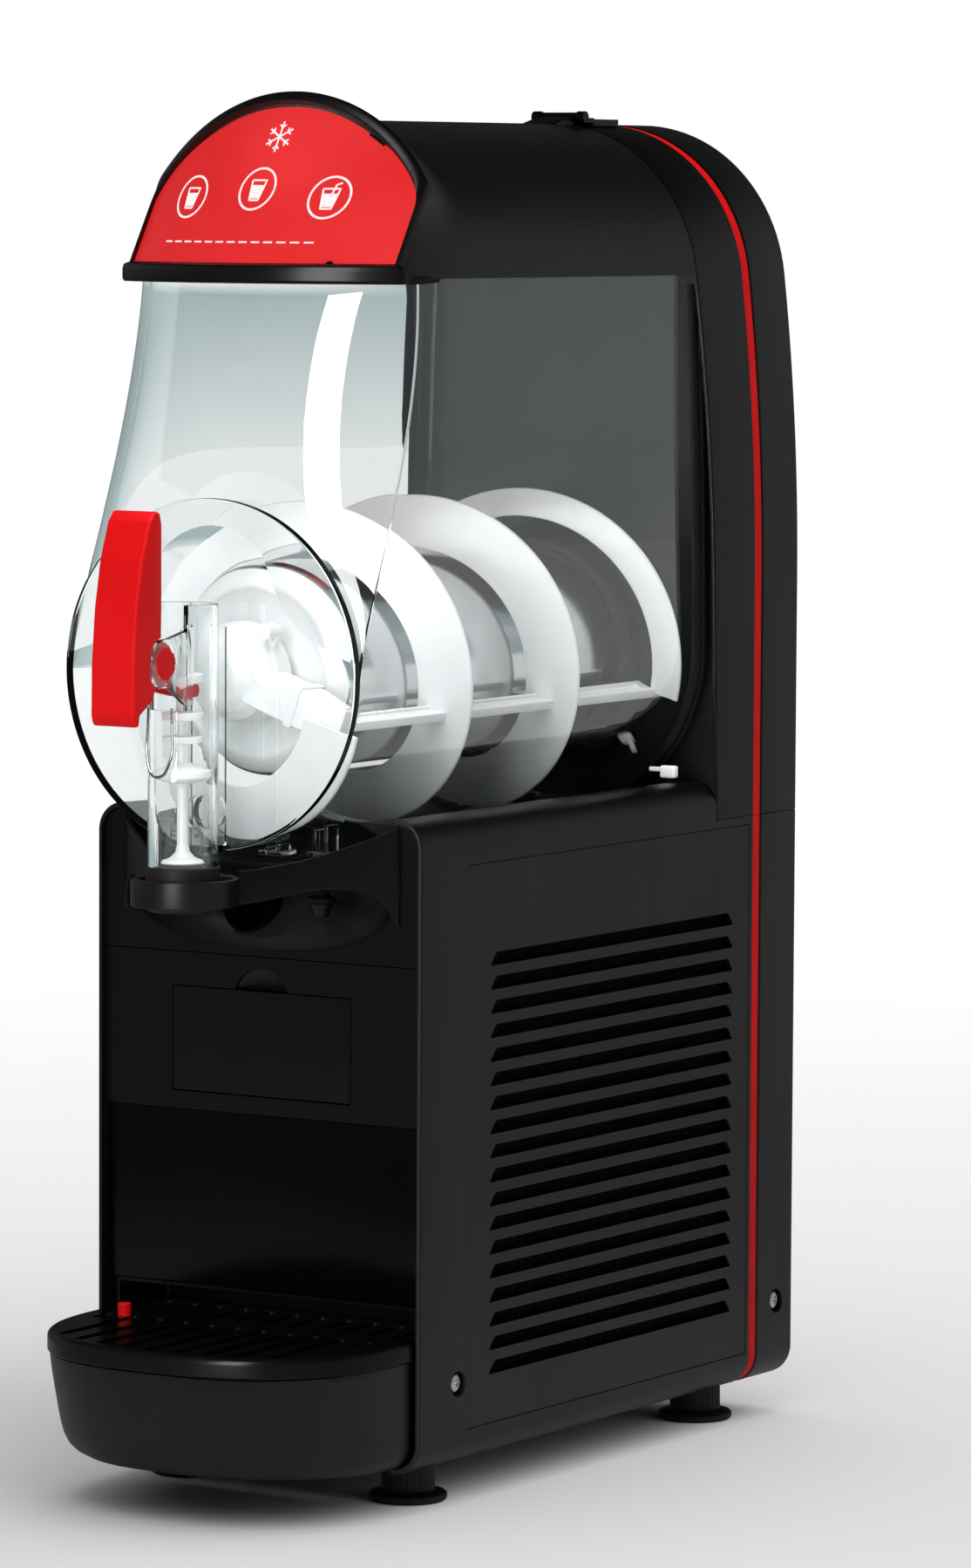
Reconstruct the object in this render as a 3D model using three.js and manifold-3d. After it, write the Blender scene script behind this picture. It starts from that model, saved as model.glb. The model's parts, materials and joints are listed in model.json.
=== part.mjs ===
// Single-bowl countertop slush machine: a refrigerated steel drum inside a clear bowl, an auger that
// turns round the drum, a red self-closing tap, a hinged illuminated hood and a cabinet with a
// condensing unit. Millimetres, +Z up, +X to the right of someone facing the tap, +Y to the back.
import * as THREE from "three";
import { mergeVertices } from "three/addons/utils/BufferGeometryUtils.js";
import Module from "manifold-3d";

const wasm = await Module();
wasm.setup();

// ---------------------------------------------------------------- driving dimensions
// y = 0 is the plane of the cabinet's front edges; the finished machine is shifted to its middle.
const HALF_WIDTH = 121;
const BACK_Y = 456;
const HANDLE_FRONT_Y = -154;
const MIDDLE_Y = (HANDLE_FRONT_Y + BACK_Y) / 2;
const CABINET = {
  bottom: 24, top: 428, bottomRadius: 20, topRadius: 18, wall: 2.5, flangeX: 100, topFlangeX: 101.5,
};
const TRIM_Y = [398.2, 407.6];
const COLUMN = { bottom: 402.6, topFront: 340.4, bottomFront: 352, wall: 2.6 };
// The arch: straight sides, a parabolic narrowing from flareZ, then a round top.
const ARCH = { radius: 110, centreZ: 743, joinDegrees: 6.8, joinZ: 756, flareZ: 560, flare: 0.000306 };
const HOOD = { back: 339.6, wall: 2.6, straightY: 80 };
const VISOR = { radius: 118, centreZ: 752, planRadius: 176, frontY: -28, baseZ: 765, lean: 0.62 };
const AXIS_Z = 515;
const BOWL = { radius: 107.5, wall: 3, discY: -50, back: 351.2, top: 760, topHalf: 101.5 };
const DRUM = { radius: 64, front: 4, back: 351.6, tunnel: 10, wall: 1.5 };
const SHAFT_RADIUS = 8;
const AUGER = {
  outer: 102, inner: 69, rearInner: 84, pitch: 125, phaseY: 334, thick: 3.4, lean: 11, railDegrees: -20,
};
const TOWER = { y: -80, outer: 21.5, bore: 18, top: 560, bottom: 388 };
const PIVOT = { y: -122, z: 526, bore: 10, trunnion: 9.8 };
const TRAY = { halfX: 117, depth: 123, power: 2.65, bottom: 27, rim: 95.4, top: 108.4 };
const GRILLE = {
  pitch: 19.5, slot: 7.6, frontMargin: 7, frontEnd: -17.5, outerReach: -35, rearY0: 6, rearY1: 48,
};
const FLOAT = { x: -87.5, y: -18, disc: 12, pin: 4.2, top: 116, post: 59.7 };
const VENT = { first: 77, pitch: 15.02, count: 18, y0: 79, y1: 373.5, height: 8.2 };
const FLAP = { halfX: 66.4, bottom: 250.2, top: 315.2, pinY: 6.6, pinZ: 253.2, pin: 1.4 };
const FOOT = { x: 83, frontY: 46, backY: 393 };
const ROCKER = { power: -34, mode: 6, y: 29.5, z: 280, pin: 1.5 };
const KNOB = { x: 42, z: 280, radius: 10.8 };
const SCREW = { frontY: 44.2, rearY: 433.8, z: 76.3, cup: 7.6, head: 6 };
const HINGE = { y: 347.5, z: 857.5, pinRadius: 2 };

// ---------------------------------------------------------------- materials
const plastic = (color, roughness) => new THREE.MeshStandardMaterial({ color, roughness, metalness: 0 });
const metal = (color, roughness) => new THREE.MeshStandardMaterial({ color, roughness, metalness: 1 });
const clear = new THREE.MeshStandardMaterial({
  color: 0xdfeeee, roughness: 0.05, transparent: true, opacity: 0.35,
});
const MATERIAL = {
  black: plastic(0x161617, 0.45),
  gloss: plastic(0x050505, 0.12),
  red: plastic(0xd5161a, 0.4),
  white: plastic(0xf2f4f5, 0.3),
  rubber: plastic(0x0a0a0a, 0.8),
  steel: metal(0xc4c8ca, 0.18),
  chrome: metal(0xdddddd, 0.08),
  painted: plastic(0x1d1f22, 0.5),
  copper: metal(0xb87333, 0.3),
  fins: metal(0xaab0b4, 0.4),
  board: plastic(0x1d5a34, 0.6),
  clear,
};

// ---------------------------------------------------------------- geometry helpers
// Any closed geometry becomes a manifold-3d solid with its faces pointing out.
function solid(geometry) {
  const source = geometry.index ? geometry.toNonIndexed() : geometry;
  const bare = new THREE.BufferGeometry().setAttribute("position", source.getAttribute("position"));
  const merged = mergeVertices(bare, 1e-3);
  const make = (flip) => {
    const triVerts = new Uint32Array(merged.index.array);
    if (flip) for (let i = 0; i < triVerts.length; i += 3) triVerts.subarray(i, i + 3).reverse();
    return new wasm.Manifold(
      new wasm.Mesh({ numProp: 3, vertProperties: merged.attributes.position.array, triVerts }),
    );
  };
  const made = make(false);
  return made.volume() < 0 ? make(true) : made;
}

function geometryOf(body) {
  const { vertProperties, triVerts, numProp } = body.getMesh();
  const position = new Float32Array((vertProperties.length / numProp) * 3);
  for (let i = 0; i < position.length / 3; i++) {
    for (let k = 0; k < 3; k++) position[3 * i + k] = vertProperties[numProp * i + k];
  }
  const geometry = new THREE.BufferGeometry();
  geometry.setAttribute("position", new THREE.BufferAttribute(position, 3));
  geometry.setIndex(new THREE.BufferAttribute(new Uint32Array(triVerts), 1));
  const flat = geometry.toNonIndexed();
  flat.computeVertexNormals();
  return flat;
}

const join = (...bodies) => bodies.reduce((a, b) => a.add(b));
const cut = (body, ...tools) => tools.reduce((a, b) => a.subtract(b), body);

function box(x0, x1, y0, y1, z0, z1) {
  const geometry = new THREE.BoxGeometry(x1 - x0, y1 - y0, z1 - z0);
  return solid(geometry.translate((x0 + x1) / 2, (y0 + y1) / 2, (z0 + z1) / 2));
}

// The same, with x limits given in either order.
const boxBetween = (xa, xb, ...rest) => box(Math.min(xa, xb), Math.max(xa, xb), ...rest);

// Turns geometry made along local Y so that it runs along the named axis.
function along(axis, geometry) {
  if (axis === "x") return geometry.rotateZ(-Math.PI / 2);
  if (axis === "z") return geometry.rotateX(Math.PI / 2);
  return geometry;
}

// A round rod from a0 to a1 along an axis; at gives the other two coordinates.
function rod(axis, radius, a0, a1, at = {}, segments = 16) {
  const { x = 0, y = 0, z = 0 } = at;
  const middle = (a0 + a1) / 2;
  const geometry = along(axis, new THREE.CylinderGeometry(radius, radius, a1 - a0, segments));
  const shift = { x: [middle, y, z], y: [x, middle, z], z: [x, y, middle] }[axis];
  return solid(geometry.translate(...shift));
}

// A turned solid: profile holds [radius, position along the axis].
function turned(axis, profile, at = {}, segments = 24) {
  const { x = 0, y = 0, z = 0 } = at;
  const points = profile.map(([r, a]) => new THREE.Vector2(r, a));
  const geometry = new THREE.LatheGeometry(points, segments);
  if (axis === "x") geometry.rotateZ(-Math.PI / 2);
  if (axis === "z") geometry.rotateX(Math.PI / 2);
  return solid(geometry.translate(x, y, z));
}

// A flat outline pushed along the axis that its plane lacks: "xz" runs in y, "yz" in x, "xy" in z.
function prism(plane, outline, low, high) {
  const shape = new THREE.Shape(outline.map(([a, b]) => new THREE.Vector2(a, b)));
  const geometry = new THREE.ExtrudeGeometry(shape, { depth: high - low, bevelEnabled: false });
  const basis = new THREE.Matrix4();
  const X = new THREE.Vector3(1, 0, 0);
  const Y = new THREE.Vector3(0, 1, 0);
  const Z = new THREE.Vector3(0, 0, 1);
  if (plane === "xz") basis.makeBasis(X, Z, Y.clone().negate()).setPosition(0, high, 0);
  if (plane === "yz") basis.makeBasis(Y, Z, X).setPosition(low, 0, 0);
  if (plane === "xy") basis.setPosition(0, 0, low);
  return solid(geometry.applyMatrix4(basis));
}

// The axis that a nearly flat ring faces most.
function facing(ring) {
  const normal = [0, 0, 0];
  ring.forEach((p, i) => {
    const q = ring[(i + 1) % ring.length];
    normal[0] += (p[1] - q[1]) * (p[2] + q[2]);
    normal[1] += (p[2] - q[2]) * (p[0] + q[0]);
    normal[2] += (p[0] - q[0]) * (p[1] + q[1]);
  });
  const sizes = normal.map(Math.abs);
  return sizes.indexOf(Math.max(...sizes));
}

// Skins a stack of closed rings of equal length and closes both ends.
function loft(rings) {
  const count = rings[0].length;
  const positions = [];
  const put = (...points) => points.forEach((p) => positions.push(...p));
  for (let k = 0; k + 1 < rings.length; k++) {
    for (let i = 0; i < count; i++) {
      const j = (i + 1) % count;
      const [a, b, c, d] = [rings[k][i], rings[k][j], rings[k + 1][j], rings[k + 1][i]];
      put(a, b, c, a, c, d);
    }
  }
  const cap = (ring, forward) => {
    const drop = facing(ring);
    const flat = ring.map((p) => new THREE.Vector2(...p.filter((_, axis) => axis !== drop)));
    const faces = THREE.ShapeUtils.triangulateShape(flat, []);
    const follows = faces.some(([a, b, c]) =>
      [[a, b], [b, c], [c, a]].some(([from, to]) => to === (from + 1) % count),
    );
    for (const [a, b, c] of faces) {
      if (follows === forward) put(ring[a], ring[b], ring[c]);
      else put(ring[a], ring[c], ring[b]);
    }
  };
  cap(rings[0], false);
  cap(rings.at(-1), true);
  const geometry = new THREE.BufferGeometry();
  geometry.setAttribute("position", new THREE.Float32BufferAttribute(positions, 3));
  return solid(geometry);
}

// A round tube along a smooth curve through points.
function tube(points, radius, sides = 8, steps = 24) {
  const path = new THREE.CatmullRomCurve3(points.map((p) => new THREE.Vector3(...p)), false, "centripetal");
  const ring = Array.from({ length: sides }, (_, i) => {
    const angle = (i / sides) * 2 * Math.PI;
    return new THREE.Vector2(radius * Math.cos(angle), radius * Math.sin(angle));
  });
  return solid(new THREE.ExtrudeGeometry(new THREE.Shape(ring), { steps, extrudePath: path }));
}

const mirrored = (body) => body.mirror([1, 0, 0]);
const mix = (a, b, t) => a + (b - a) * t;
const clamp01 = (t) => Math.min(1, Math.max(0, t));
const rad = (degrees) => (degrees * Math.PI) / 180;

// Points of an arc in a plane, from one angle to another, in degrees.
function arc(cx, cy, radius, from, to, steps) {
  return Array.from({ length: steps + 1 }, (_, i) => {
    const angle = rad(mix(from, to, i / steps));
    return [cx + radius * Math.cos(angle), cy + radius * Math.sin(angle)];
  });
}

const machine = new THREE.Group();
machine.position.y = -MIDDLE_Y;

function add(name, material, body) {
  const mesh = new THREE.Mesh(geometryOf(body), material);
  mesh.name = name;
  machine.add(mesh);
}

// ---------------------------------------------------------------- shared outlines
// The arch as [x, z] from the right foot over the top to the left foot.
function archLine(bottom, inset, roundSteps = 16) {
  const halfAt = (z) => HALF_WIDTH - ARCH.flare * Math.max(0, z - ARCH.flareZ) ** 2 - inset;
  const heights = [bottom, ARCH.flareZ, 612, 660, 710].filter((z) => z === bottom || z > bottom + 5);
  const side = heights.map((z) => [halfAt(z), z]);
  const { centreZ, radius, joinDegrees } = ARCH;
  const round = arc(0, centreZ, radius - inset, joinDegrees, 180 - joinDegrees, roundSteps);
  return [...side, ...round, ...side.map(([x, z]) => [-x, z]).reverse()];
}

// How far back the bowed front of the hood lies at a place x, and how it leans back with height.
const bowedY = (x) => VISOR.planRadius - Math.sqrt(VISOR.planRadius ** 2 - x * x);
const visorY = (x, z) => VISOR.frontY + bowedY(x) + (z - VISOR.baseZ) * VISOR.lean;

// The cabinet's side as a C-shaped [x, z] strip: bottom flange, wall, top flange.
function sideStrip(outset, wall, flangeX, bottomZ, topPart) {
  const { bottomRadius: rb } = CABINET;
  const x = HALF_WIDTH - outset;
  const outer = [[flangeX, bottomZ], ...arc(x - rb, bottomZ + rb, rb, -90, 0, 6), ...topPart(x, 0)];
  const inner = [
    [flangeX, bottomZ + wall],
    ...arc(x - rb, bottomZ + rb, rb - wall, -90, 0, 6),
    ...topPart(x - wall, wall),
  ];
  return [...outer, ...inner.reverse()];
}

// The tray's plan: a rounded D that reaches furthest forward at its middle.
function trayPlan(inset) {
  const steps = 20;
  const backY = -1.6;
  return Array.from({ length: steps + 1 }, (_, i) => {
    const angle = Math.PI * (i / steps);
    const c = Math.cos(angle);
    const s = Math.sin(angle);
    const x = (TRAY.halfX - inset) * Math.sign(c) * Math.abs(c) ** (2 / TRAY.power);
    return [x, backY - (TRAY.depth + backY - inset) * s ** (2 / TRAY.power)];
  });
}

// ---------------------------------------------------------------- cabinet
function cabinetSide() {
  const { top, topRadius: rt, topFlangeX } = CABINET;
  const corner = (x, wall) => arc(x - (rt - wall), top - rt, rt - wall, 0, 90, 6);
  const topPart = (x, wall) => [...corner(x, wall), [topFlangeX, top - wall]];
  const strip = sideStrip(0, CABINET.wall, CABINET.flangeX, CABINET.bottom, topPart);
  const shell = cut(
    prism("xz", strip, 0, TRIM_Y[0] - 0.4),
    box(112, 130, 53, 394, 46, 397), // the vent panel's window
    box(90, 130, COLUMN.bottomFront - 1, 400, COLUMN.bottom - 0.4, 440), // room for the column's foot
  );
  return withScrewCup(shell, SCREW.frontY);
}

// A sunk cup in a side wall for one side screw.
function withScrewCup(body, y) {
  const at = { y, z: SCREW.z };
  const boss = rod("x", SCREW.cup + 1, 114, 119, at, 16);
  return cut(join(body, boss), rod("x", SCREW.cup, 116.4, 130, at, 16), rod("x", 2.8, 110, 120, at, 12));
}

function ventPanel() {
  const plate = box(118.3, 120.8, 53.4, 393.6, 46.4, 396.6);
  const { y0, y1, height: h } = VENT;
  const mouth = [[y0, 0], [y1, 0], [y1 - 7, h], [y0 + 11, h]];
  const slots = Array.from({ length: VENT.count }, (_, i) => {
    const z = VENT.first + i * VENT.pitch;
    return prism("yz", mouth.map(([y, dz]) => [y, z + dz]), 115, 125);
  });
  return cut(plate, ...slots);
}

function basePan() {
  const shell = cut(box(-100.4, 100.4, 9, 452, 27.1, 45), box(-97.9, 97.9, 11.5, 449.5, 29.6, 50));
  const holes = footPlaces().map(([x, y]) => rod("z", 4.5, 20, 40, { x, y }, 12));
  return cut(shell, ...holes);
}

function footPlaces() {
  const { x, frontY, backY } = FOOT;
  return [[-x, frontY], [x, frontY], [-x, backY], [x, backY]];
}

function foot(x, y) {
  const profile = [
    [0, 0], [23.6, 0], [24.3, 1.2], [24.3, 4.2], [16.8, 7], [16.5, 26.6], [4, 26.6], [4, 36], [0, 36],
  ];
  return turned("z", profile.map(([r, z]) => [r, -z]), { x, y }, 16).mirror([0, 0, 1]);
}

// The niche under the drip collector: a rounded scoop with a flattened superellipse mouth.
const NICHE = { x: 104, z: 45, y: 30, centreZ: 386, centreY: 3, power: 2.5 };
function nicheBody(grow = 0) {
  const geometry = new THREE.SphereGeometry(1, 20, 12);
  const place = geometry.getAttribute("position");
  const swell = (v) => Math.sign(v) * Math.abs(v) ** (2 / NICHE.power);
  for (let i = 0; i < place.count; i++) {
    const [x, y, z] = [place.getX(i), place.getY(i), place.getZ(i)];
    place.setXYZ(
      i,
      swell(x) * (NICHE.x + grow),
      NICHE.centreY + y * (NICHE.y + grow),
      NICHE.centreZ + swell(z) * (NICHE.z + grow),
    );
  }
  return solid(geometry);
}

function frontFascia() {
  const corner = arc(103, 410, 14.6, 0, 80, 5);
  const right = [[117.6, 337.2], ...corner];
  const outline = [...right, ...right.map(([x, z]) => [-x, z]).reverse()];
  const plate = cut(prism("xz", outline, 4, 7.5), box(-104, 104, 0, 20, 383, 430));
  const pocket = cut(nicheBody(2.5), box(-130, 130, -60, 7, 300, 450), box(-130, 130, -60, 60, 383, 450));
  return cut(join(plate, pocket), nicheBody(0));
}

function drainNozzle() {
  const profile = [[0, -352], [3, -352], [9.5, -376], [7, -383], [0, -383]];
  return turned("z", profile, { x: 38, y: 14 }, 12).mirror([0, 0, 1]);
}

function middlePanel() {
  const { halfX, bottom, top, pinY, pinZ, pin } = FLAP;
  const plate = box(-117.6, 117.6, 4, 7.5, 238.4, 336.8);
  const bosses = [-1, 1].map((s) => boxBetween(s * (halfX + 0.6), s * (halfX + 5.6), 5, 11, 248, 259));
  const notch = cut(rod("y", 19.5, 2, 15, { z: 309.5 }, 24), box(-30, 30, 0, 20, 280, top + 0.6));
  const doorway = box(-halfX - 0.6, halfX + 0.6, 0, 20, bottom - 1.2, top + 0.6);
  const pinHoles = rod("x", pin + 0.1, -halfX - 3, halfX + 3, { y: pinY, z: pinZ }, 12);
  return cut(join(plate, ...bosses), notch, doorway, pinHoles);
}

function controlFlap() {
  const { halfX, bottom, top, pinY, pinZ, pin } = FLAP;
  const leaf = box(-halfX, halfX, 4, 7, bottom, top);
  const barrel = rod("x", 2.6, -halfX, halfX, { y: pinY, z: pinZ }, 12);
  const pins = rod("x", pin, -halfX - 2.6, halfX + 2.6, { y: pinY, z: pinZ }, 12);
  return join(leaf, barrel, pins);
}

function controlBox() {
  const tub = cut(box(-70, 70, 11.4, 36, 244, 317.6), box(-67.5, 67.5, 0, 33, 246.5, 315.4));
  const openings = [ROCKER.power, ROCKER.mode].map((x) => box(x - 9.4, x + 9.4, 30, 40, 265.6, 294.4));
  return cut(tub, ...openings, rod("y", 4.4, 30, 40, { x: KNOB.x, z: KNOB.z }, 16));
}

// A rocker key on its trunnions; the key's faces slope either side of the pivot.
function rockerKey(x) {
  const { y, z, pin } = ROCKER;
  const outline = [[25, 268], [23.4, 280], [26.5, 292], [30.5, 291], [31.5, 280], [30.5, 269]];
  return join(prism("yz", outline, x - 6.5, x + 6.5), rod("x", pin, x - 7.8, x + 7.8, { y, z }, 12));
}

function switchBody(x) {
  const { y, z, pin } = ROCKER;
  const frame = join(box(x - 9, x + 9, 28, 52, 266, 294), box(x - 10.8, x + 10.8, 28, 29.6, 264.2, 295.8));
  const well = box(x - 7, x + 7, 20, 33.5, 266.9, 293.1);
  return cut(frame, well, rod("x", pin + 0.1, x - 8, x + 8, { y, z }, 12));
}

function densityKnob() {
  const { x, z, radius } = KNOB;
  const flutes = Array.from({ length: 8 }, (_, i) => {
    const angle = rad(i * 45 + 22.5);
    const at = { x: x + (radius + 0.6) * Math.cos(angle), z: z + (radius + 0.6) * Math.sin(angle) };
    return rod("y", 1.6, 15, 26, at, 6);
  });
  return cut(join(rod("y", radius, 18, 28.6, { x, z }, 24), rod("y", 3.9, 28, 44, { x, z }, 16)), ...flutes);
}

function topDeck() {
  return cut(box(-103, 103, 8, 351.4, 392.5, 425.2), box(-100.6, 100.6, 0, 360, 395, 430));
}

// ---------------------------------------------------------------- drip collector and outlet guard
const GUARD = { y: -78, outer: 33, inner: 29.6, bottom: 372, top: 394 };

// The collector's plan: narrow at the outlet guard, widening in a hollow curve to the cabinet.
function collectorPlan(inset) {
  const steps = 8;
  const right = Array.from({ length: steps + 1 }, (_, i) => {
    const t = i / steps;
    return [mix(102.6, 25.5, t) - inset, mix(3, -57, t ** 0.82) + inset * 0.6];
  });
  return [...right, ...right.map(([x, y]) => [-x, y]).reverse()];
}

function dripCollector() {
  const upperCut = [[-90, 394.5], [-57, 394.5], [-30, 401], [3.4, 421.5], [20, 440], [-90, 440]];
  const lowerCut = [[-90, 375.4], [-57, 375.4], [-20, 384], [-6, 378], [3.4, 361.5], [20, 340], [-90, 340]];
  return cut(
    prism("xy", collectorPlan(0), 350, 424),
    prism("xy", collectorPlan(3), 388, 430),
    prism("xy", collectorPlan(3), 340, 384.6),
    nicheBody(-1.5),
    prism("yz", upperCut, -130, 130),
    prism("yz", lowerCut, -130, 130),
    rod("z", GUARD.outer + 0.4, 300, 500, { y: GUARD.y }, 28),
  );
}

function outletGuard() {
  const { y, outer, inner, bottom, top } = GUARD;
  return cut(rod("z", outer, bottom, top, { y }, 28), rod("z", inner, bottom - 5, top + 5, { y }, 28));
}

function outletCap() {
  const profile = [
    [17.4, 374], [20, 372.6], [22.7, 375], [22.7, 400],
    [21.9, 400], [21.9, 384.5], [17.4, 384.5], [17.4, 374],
  ];
  return turned("z", profile.map(([r, z]) => [r, -z]), { y: TOWER.y }, 24).mirror([0, 0, 1]);
}

// ---------------------------------------------------------------- column and rear cover
function columnShell() {
  const { bottom, topFront, bottomFront, wall } = COLUMN;
  const frontY = (z) => mix(bottomFront, topFront, clamp01((z - bottom) / (757 - bottom)));
  const section = [...archLine(bottom, 0), ...archLine(bottom, wall).reverse()];
  const front = section.map(([x, z]) => [x, frontY(z), z]);
  const back = section.map(([x, z]) => [x, TRIM_Y[0] - 0.4, z]);
  return loft([front, back]);
}

function bulkhead() {
  const plate = prism("xz", archLine(396, 3.2), 352.2, 355);
  const lines = [-24, 24].map((x) => rod("y", 6, 340, 360, { x, z: AXIS_Z + 30 }, 12));
  return cut(plate, rod("y", 14, 340, 360, { z: AXIS_Z }, 24), ...lines);
}

function upperTrim() {
  const section = [...archLine(COLUMN.bottom, 0.7), ...archLine(COLUMN.bottom, 2.8).reverse()];
  return prism("xz", section, ...TRIM_Y);
}

function lowerTrim() {
  const topPart = (x) => [[x, COLUMN.bottom - 0.4]];
  return prism("xz", sideStrip(0.7, 2.1, CABINET.flangeX, CABINET.bottom + 0.7, topPart), ...TRIM_Y);
}

function rearCoverUpper() {
  const y = TRIM_Y[1] + 0.6;
  const outer = prism("xz", archLine(COLUMN.bottom, 0), y, BACK_Y);
  const inner = prism("xz", archLine(COLUMN.bottom - 20, COLUMN.wall), y - 10, BACK_Y - 2.6);
  const grille = Array.from({ length: 6 }, (_, i) => box(-60, 60, 440, 470, 560 + i * 16, 568 + i * 16));
  return cut(outer, inner, ...grille);
}

function lowerOutline(inset) {
  const r = CABINET.bottomRadius;
  const x = HALF_WIDTH - inset;
  const z = CABINET.bottom + inset;
  const corner = arc(x - (r - inset), z + r - inset, r - inset, -90, 0, 6);
  const right = [...corner, [x, COLUMN.bottom - 0.5 + inset * 8]];
  return [...right, ...right.map(([a, b]) => [-a, b]).reverse()];
}

function rearCoverLower() {
  const y = TRIM_Y[1] + 0.6;
  const shell = cut(
    prism("xz", lowerOutline(0), y, BACK_Y),
    prism("xz", lowerOutline(2.5), y - 10, BACK_Y - 2.5),
  );
  const grille = Array.from({ length: 9 }, (_, i) => box(-84, 84, 440, 470, 130 + i * 24, 139 + i * 24));
  const feet = footPlaces().map(([x, fy]) => rod("z", 17, 10, 40, { x, y: fy }, 18));
  const pierced = cut(shell, ...grille, ...feet, box(-78.4, -41.6, 440, 470, 57.6, 88.4));
  return mirrored(withScrewCup(mirrored(withScrewCup(pierced, SCREW.rearY)), SCREW.rearY));
}

// An appliance inlet with three blades, set flush in the rear cover.
function powerInlet() {
  const body = join(box(-74, -46, 436, 455, 62, 84), box(-78, -42, 453.7, BACK_Y - 0.1, 58, 88));
  const blades = [[-65, 69], [-60, 73], [-55, 69]].map(([x, z]) => box(x - 1, x + 1, 438, 452, z, z + 6));
  return join(cut(body, box(-72, -48, 440, 470, 64, 82)), ...blades);
}

// ---------------------------------------------------------------- hood
function hoodShell() {
  const steps = 18;
  const onArc = ({ radius, centreZ }, inset, angle) => [
    (radius - inset) * Math.cos(angle),
    centreZ + (radius - inset) * Math.sin(angle),
  ];
  // One arched ring of the shell; v runs from the straight part (0) to the visor's rim (1).
  const ringAt = (v) => {
    const line = (inset) => Array.from({ length: steps + 1 }, (_, i) => {
      const body = onArc(ARCH, inset, rad(mix(ARCH.joinDegrees, 180 - ARCH.joinDegrees, i / steps)));
      const rim = onArc(VISOR, inset, rad(mix(2, 178, i / steps)));
      const flare = v ** 2.2;
      const y = mix(HOOD.straightY, visorY(...rim), v);
      return [mix(body[0], rim[0], flare), y, mix(body[1], rim[1], flare)];
    });
    return [...line(0), ...line(HOOD.wall).reverse()];
  };
  const front = [1, 0.8, 0.55, 0.3, 0].map(ringAt);
  const back = front.at(-1).map(([x, , z]) => [x, HOOD.back, z]);
  return join(loft([...front, back]), visorBrim(), hoodKnuckle());
}

// The bowed bar that closes the visor at the bottom.
function visorBrim() {
  const rings = Array.from({ length: 17 }, (_, i) => {
    const x = mix(-116.5, 116.5, i / 16);
    const y = visorY(x, VISOR.baseZ);
    return [[x, y - 4, 752.4], [x, y, 765], [x, y + 8, 765], [x, y + 8, 758], [x, y + 3, 752.4]];
  });
  return loft(rings);
}

// The knuckle that turns on the hinge block's pin.
function hoodKnuckle() {
  const { y, z, pinRadius } = HINGE;
  const arm = join(box(-13, 13, 325, y, 849, 856), rod("x", 3.8, -13, 13, { y, z }, 16));
  return cut(arm, box(-20, 20, HOOD.back, 360, 840, 853.4), rod("x", pinRadius + 0.2, -30, 30, { y, z }, 12));
}

// The red front: a leaning bowed sheet, arched above and cut in towards its foot.
const FRONT_SHEET = { radius: 117, centreZ: 741, wideX: 101, wideZ: 799, footX: 94, bottom: 765.6, set: 5 };
function lightPanel() {
  const { radius, centreZ, wideX, wideZ, footX, bottom, set } = FRONT_SHEET;
  const columns = 20;
  const rings = Array.from({ length: columns + 1 }, (_, i) => {
    const x = mix(-wideX, wideX, i / columns) * 0.999;
    const a = Math.abs(x);
    const low = a <= footX ? bottom : mix(bottom, wideZ - 1, (a - footX) / (wideX - footX));
    const high = Math.max(low + 0.5, centreZ + Math.sqrt(radius * radius - x * x));
    const middle = (low + high) / 2;
    const at = (z, depth) => [x, visorY(x, z) + set + depth, z];
    return [at(low, 0), at(middle, 0), at(high, 0), at(high, 2), at(middle, 2), at(low, 2)];
  });
  return loft(rings);
}

function lampBoard() {
  const strip = box(-62, 62, 58, 60, 782, 812);
  const lamps = Array.from({ length: 6 }, (_, i) => box(-54 + i * 20, -46 + i * 20, 55, 58.5, 793, 801));
  return join(strip, ...lamps);
}

function hingeBlock() {
  const plate = box(-20, 20, 356, 388, 853.4, 856.2);
  const ears = [-1, 1].map((s) => {
    const [x0, x1] = s > 0 ? [13.8, 20] : [-20, -13.8];
    return join(rod("x", 3.8, x0, x1, { y: HINGE.y, z: HINGE.z }, 16), box(x0, x1, HINGE.y, 358, 853.7, 857));
  });
  return join(plate, ...ears, rod("x", HINGE.pinRadius, -19, 19, { y: HINGE.y, z: HINGE.z }, 12));
}

// ---------------------------------------------------------------- bowl
// How the bowl narrows and its front leans back from the axis up to the rim.
function bowlPlan(z, inset) {
  const t = clamp01((z - AXIS_Z) / (BOWL.top - AXIS_Z));
  const half = mix(BOWL.radius, BOWL.topHalf, t * t) - inset;
  const corner = -49 + 71 * Math.sin((Math.PI / 2) * t) ** 1.25 + inset;
  const centre = -49 + 39 * clamp01((t - 0.3) / 0.7) ** 1.3 + inset;
  const steps = 8;
  const front = Array.from({ length: steps + 1 }, (_, i) => {
    const s = mix(1, -1, i / steps);
    return [half * s, mix(centre, corner, (1 - Math.sqrt(1 - 0.86 * s * s)) / (1 - Math.sqrt(0.14)))];
  });
  const back = BOWL.back + (inset ? 10 : 0);
  const ring = [[half, back], ...front, [-half, back]];
  return ring.map(([x, y]) => [x, y, z]);
}

function bowlBody(inset) {
  const heights = [AXIS_Z, 540, 570, 600, 640, 690, BOWL.top];
  if (inset) heights[heights.length - 1] = BOWL.top + 5;
  const upper = loft(heights.map((z) => bowlPlan(z, inset)));
  const back = BOWL.back + (inset ? 10 : 0);
  const round = rod("y", BOWL.radius - inset, BOWL.discY + 1 + inset, back, { z: AXIS_Z }, 32);
  const lower = cut(round, box(-200, 200, -200, 500, AXIS_Z + 0.01, 800));
  return join(upper, lower);
}

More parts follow.
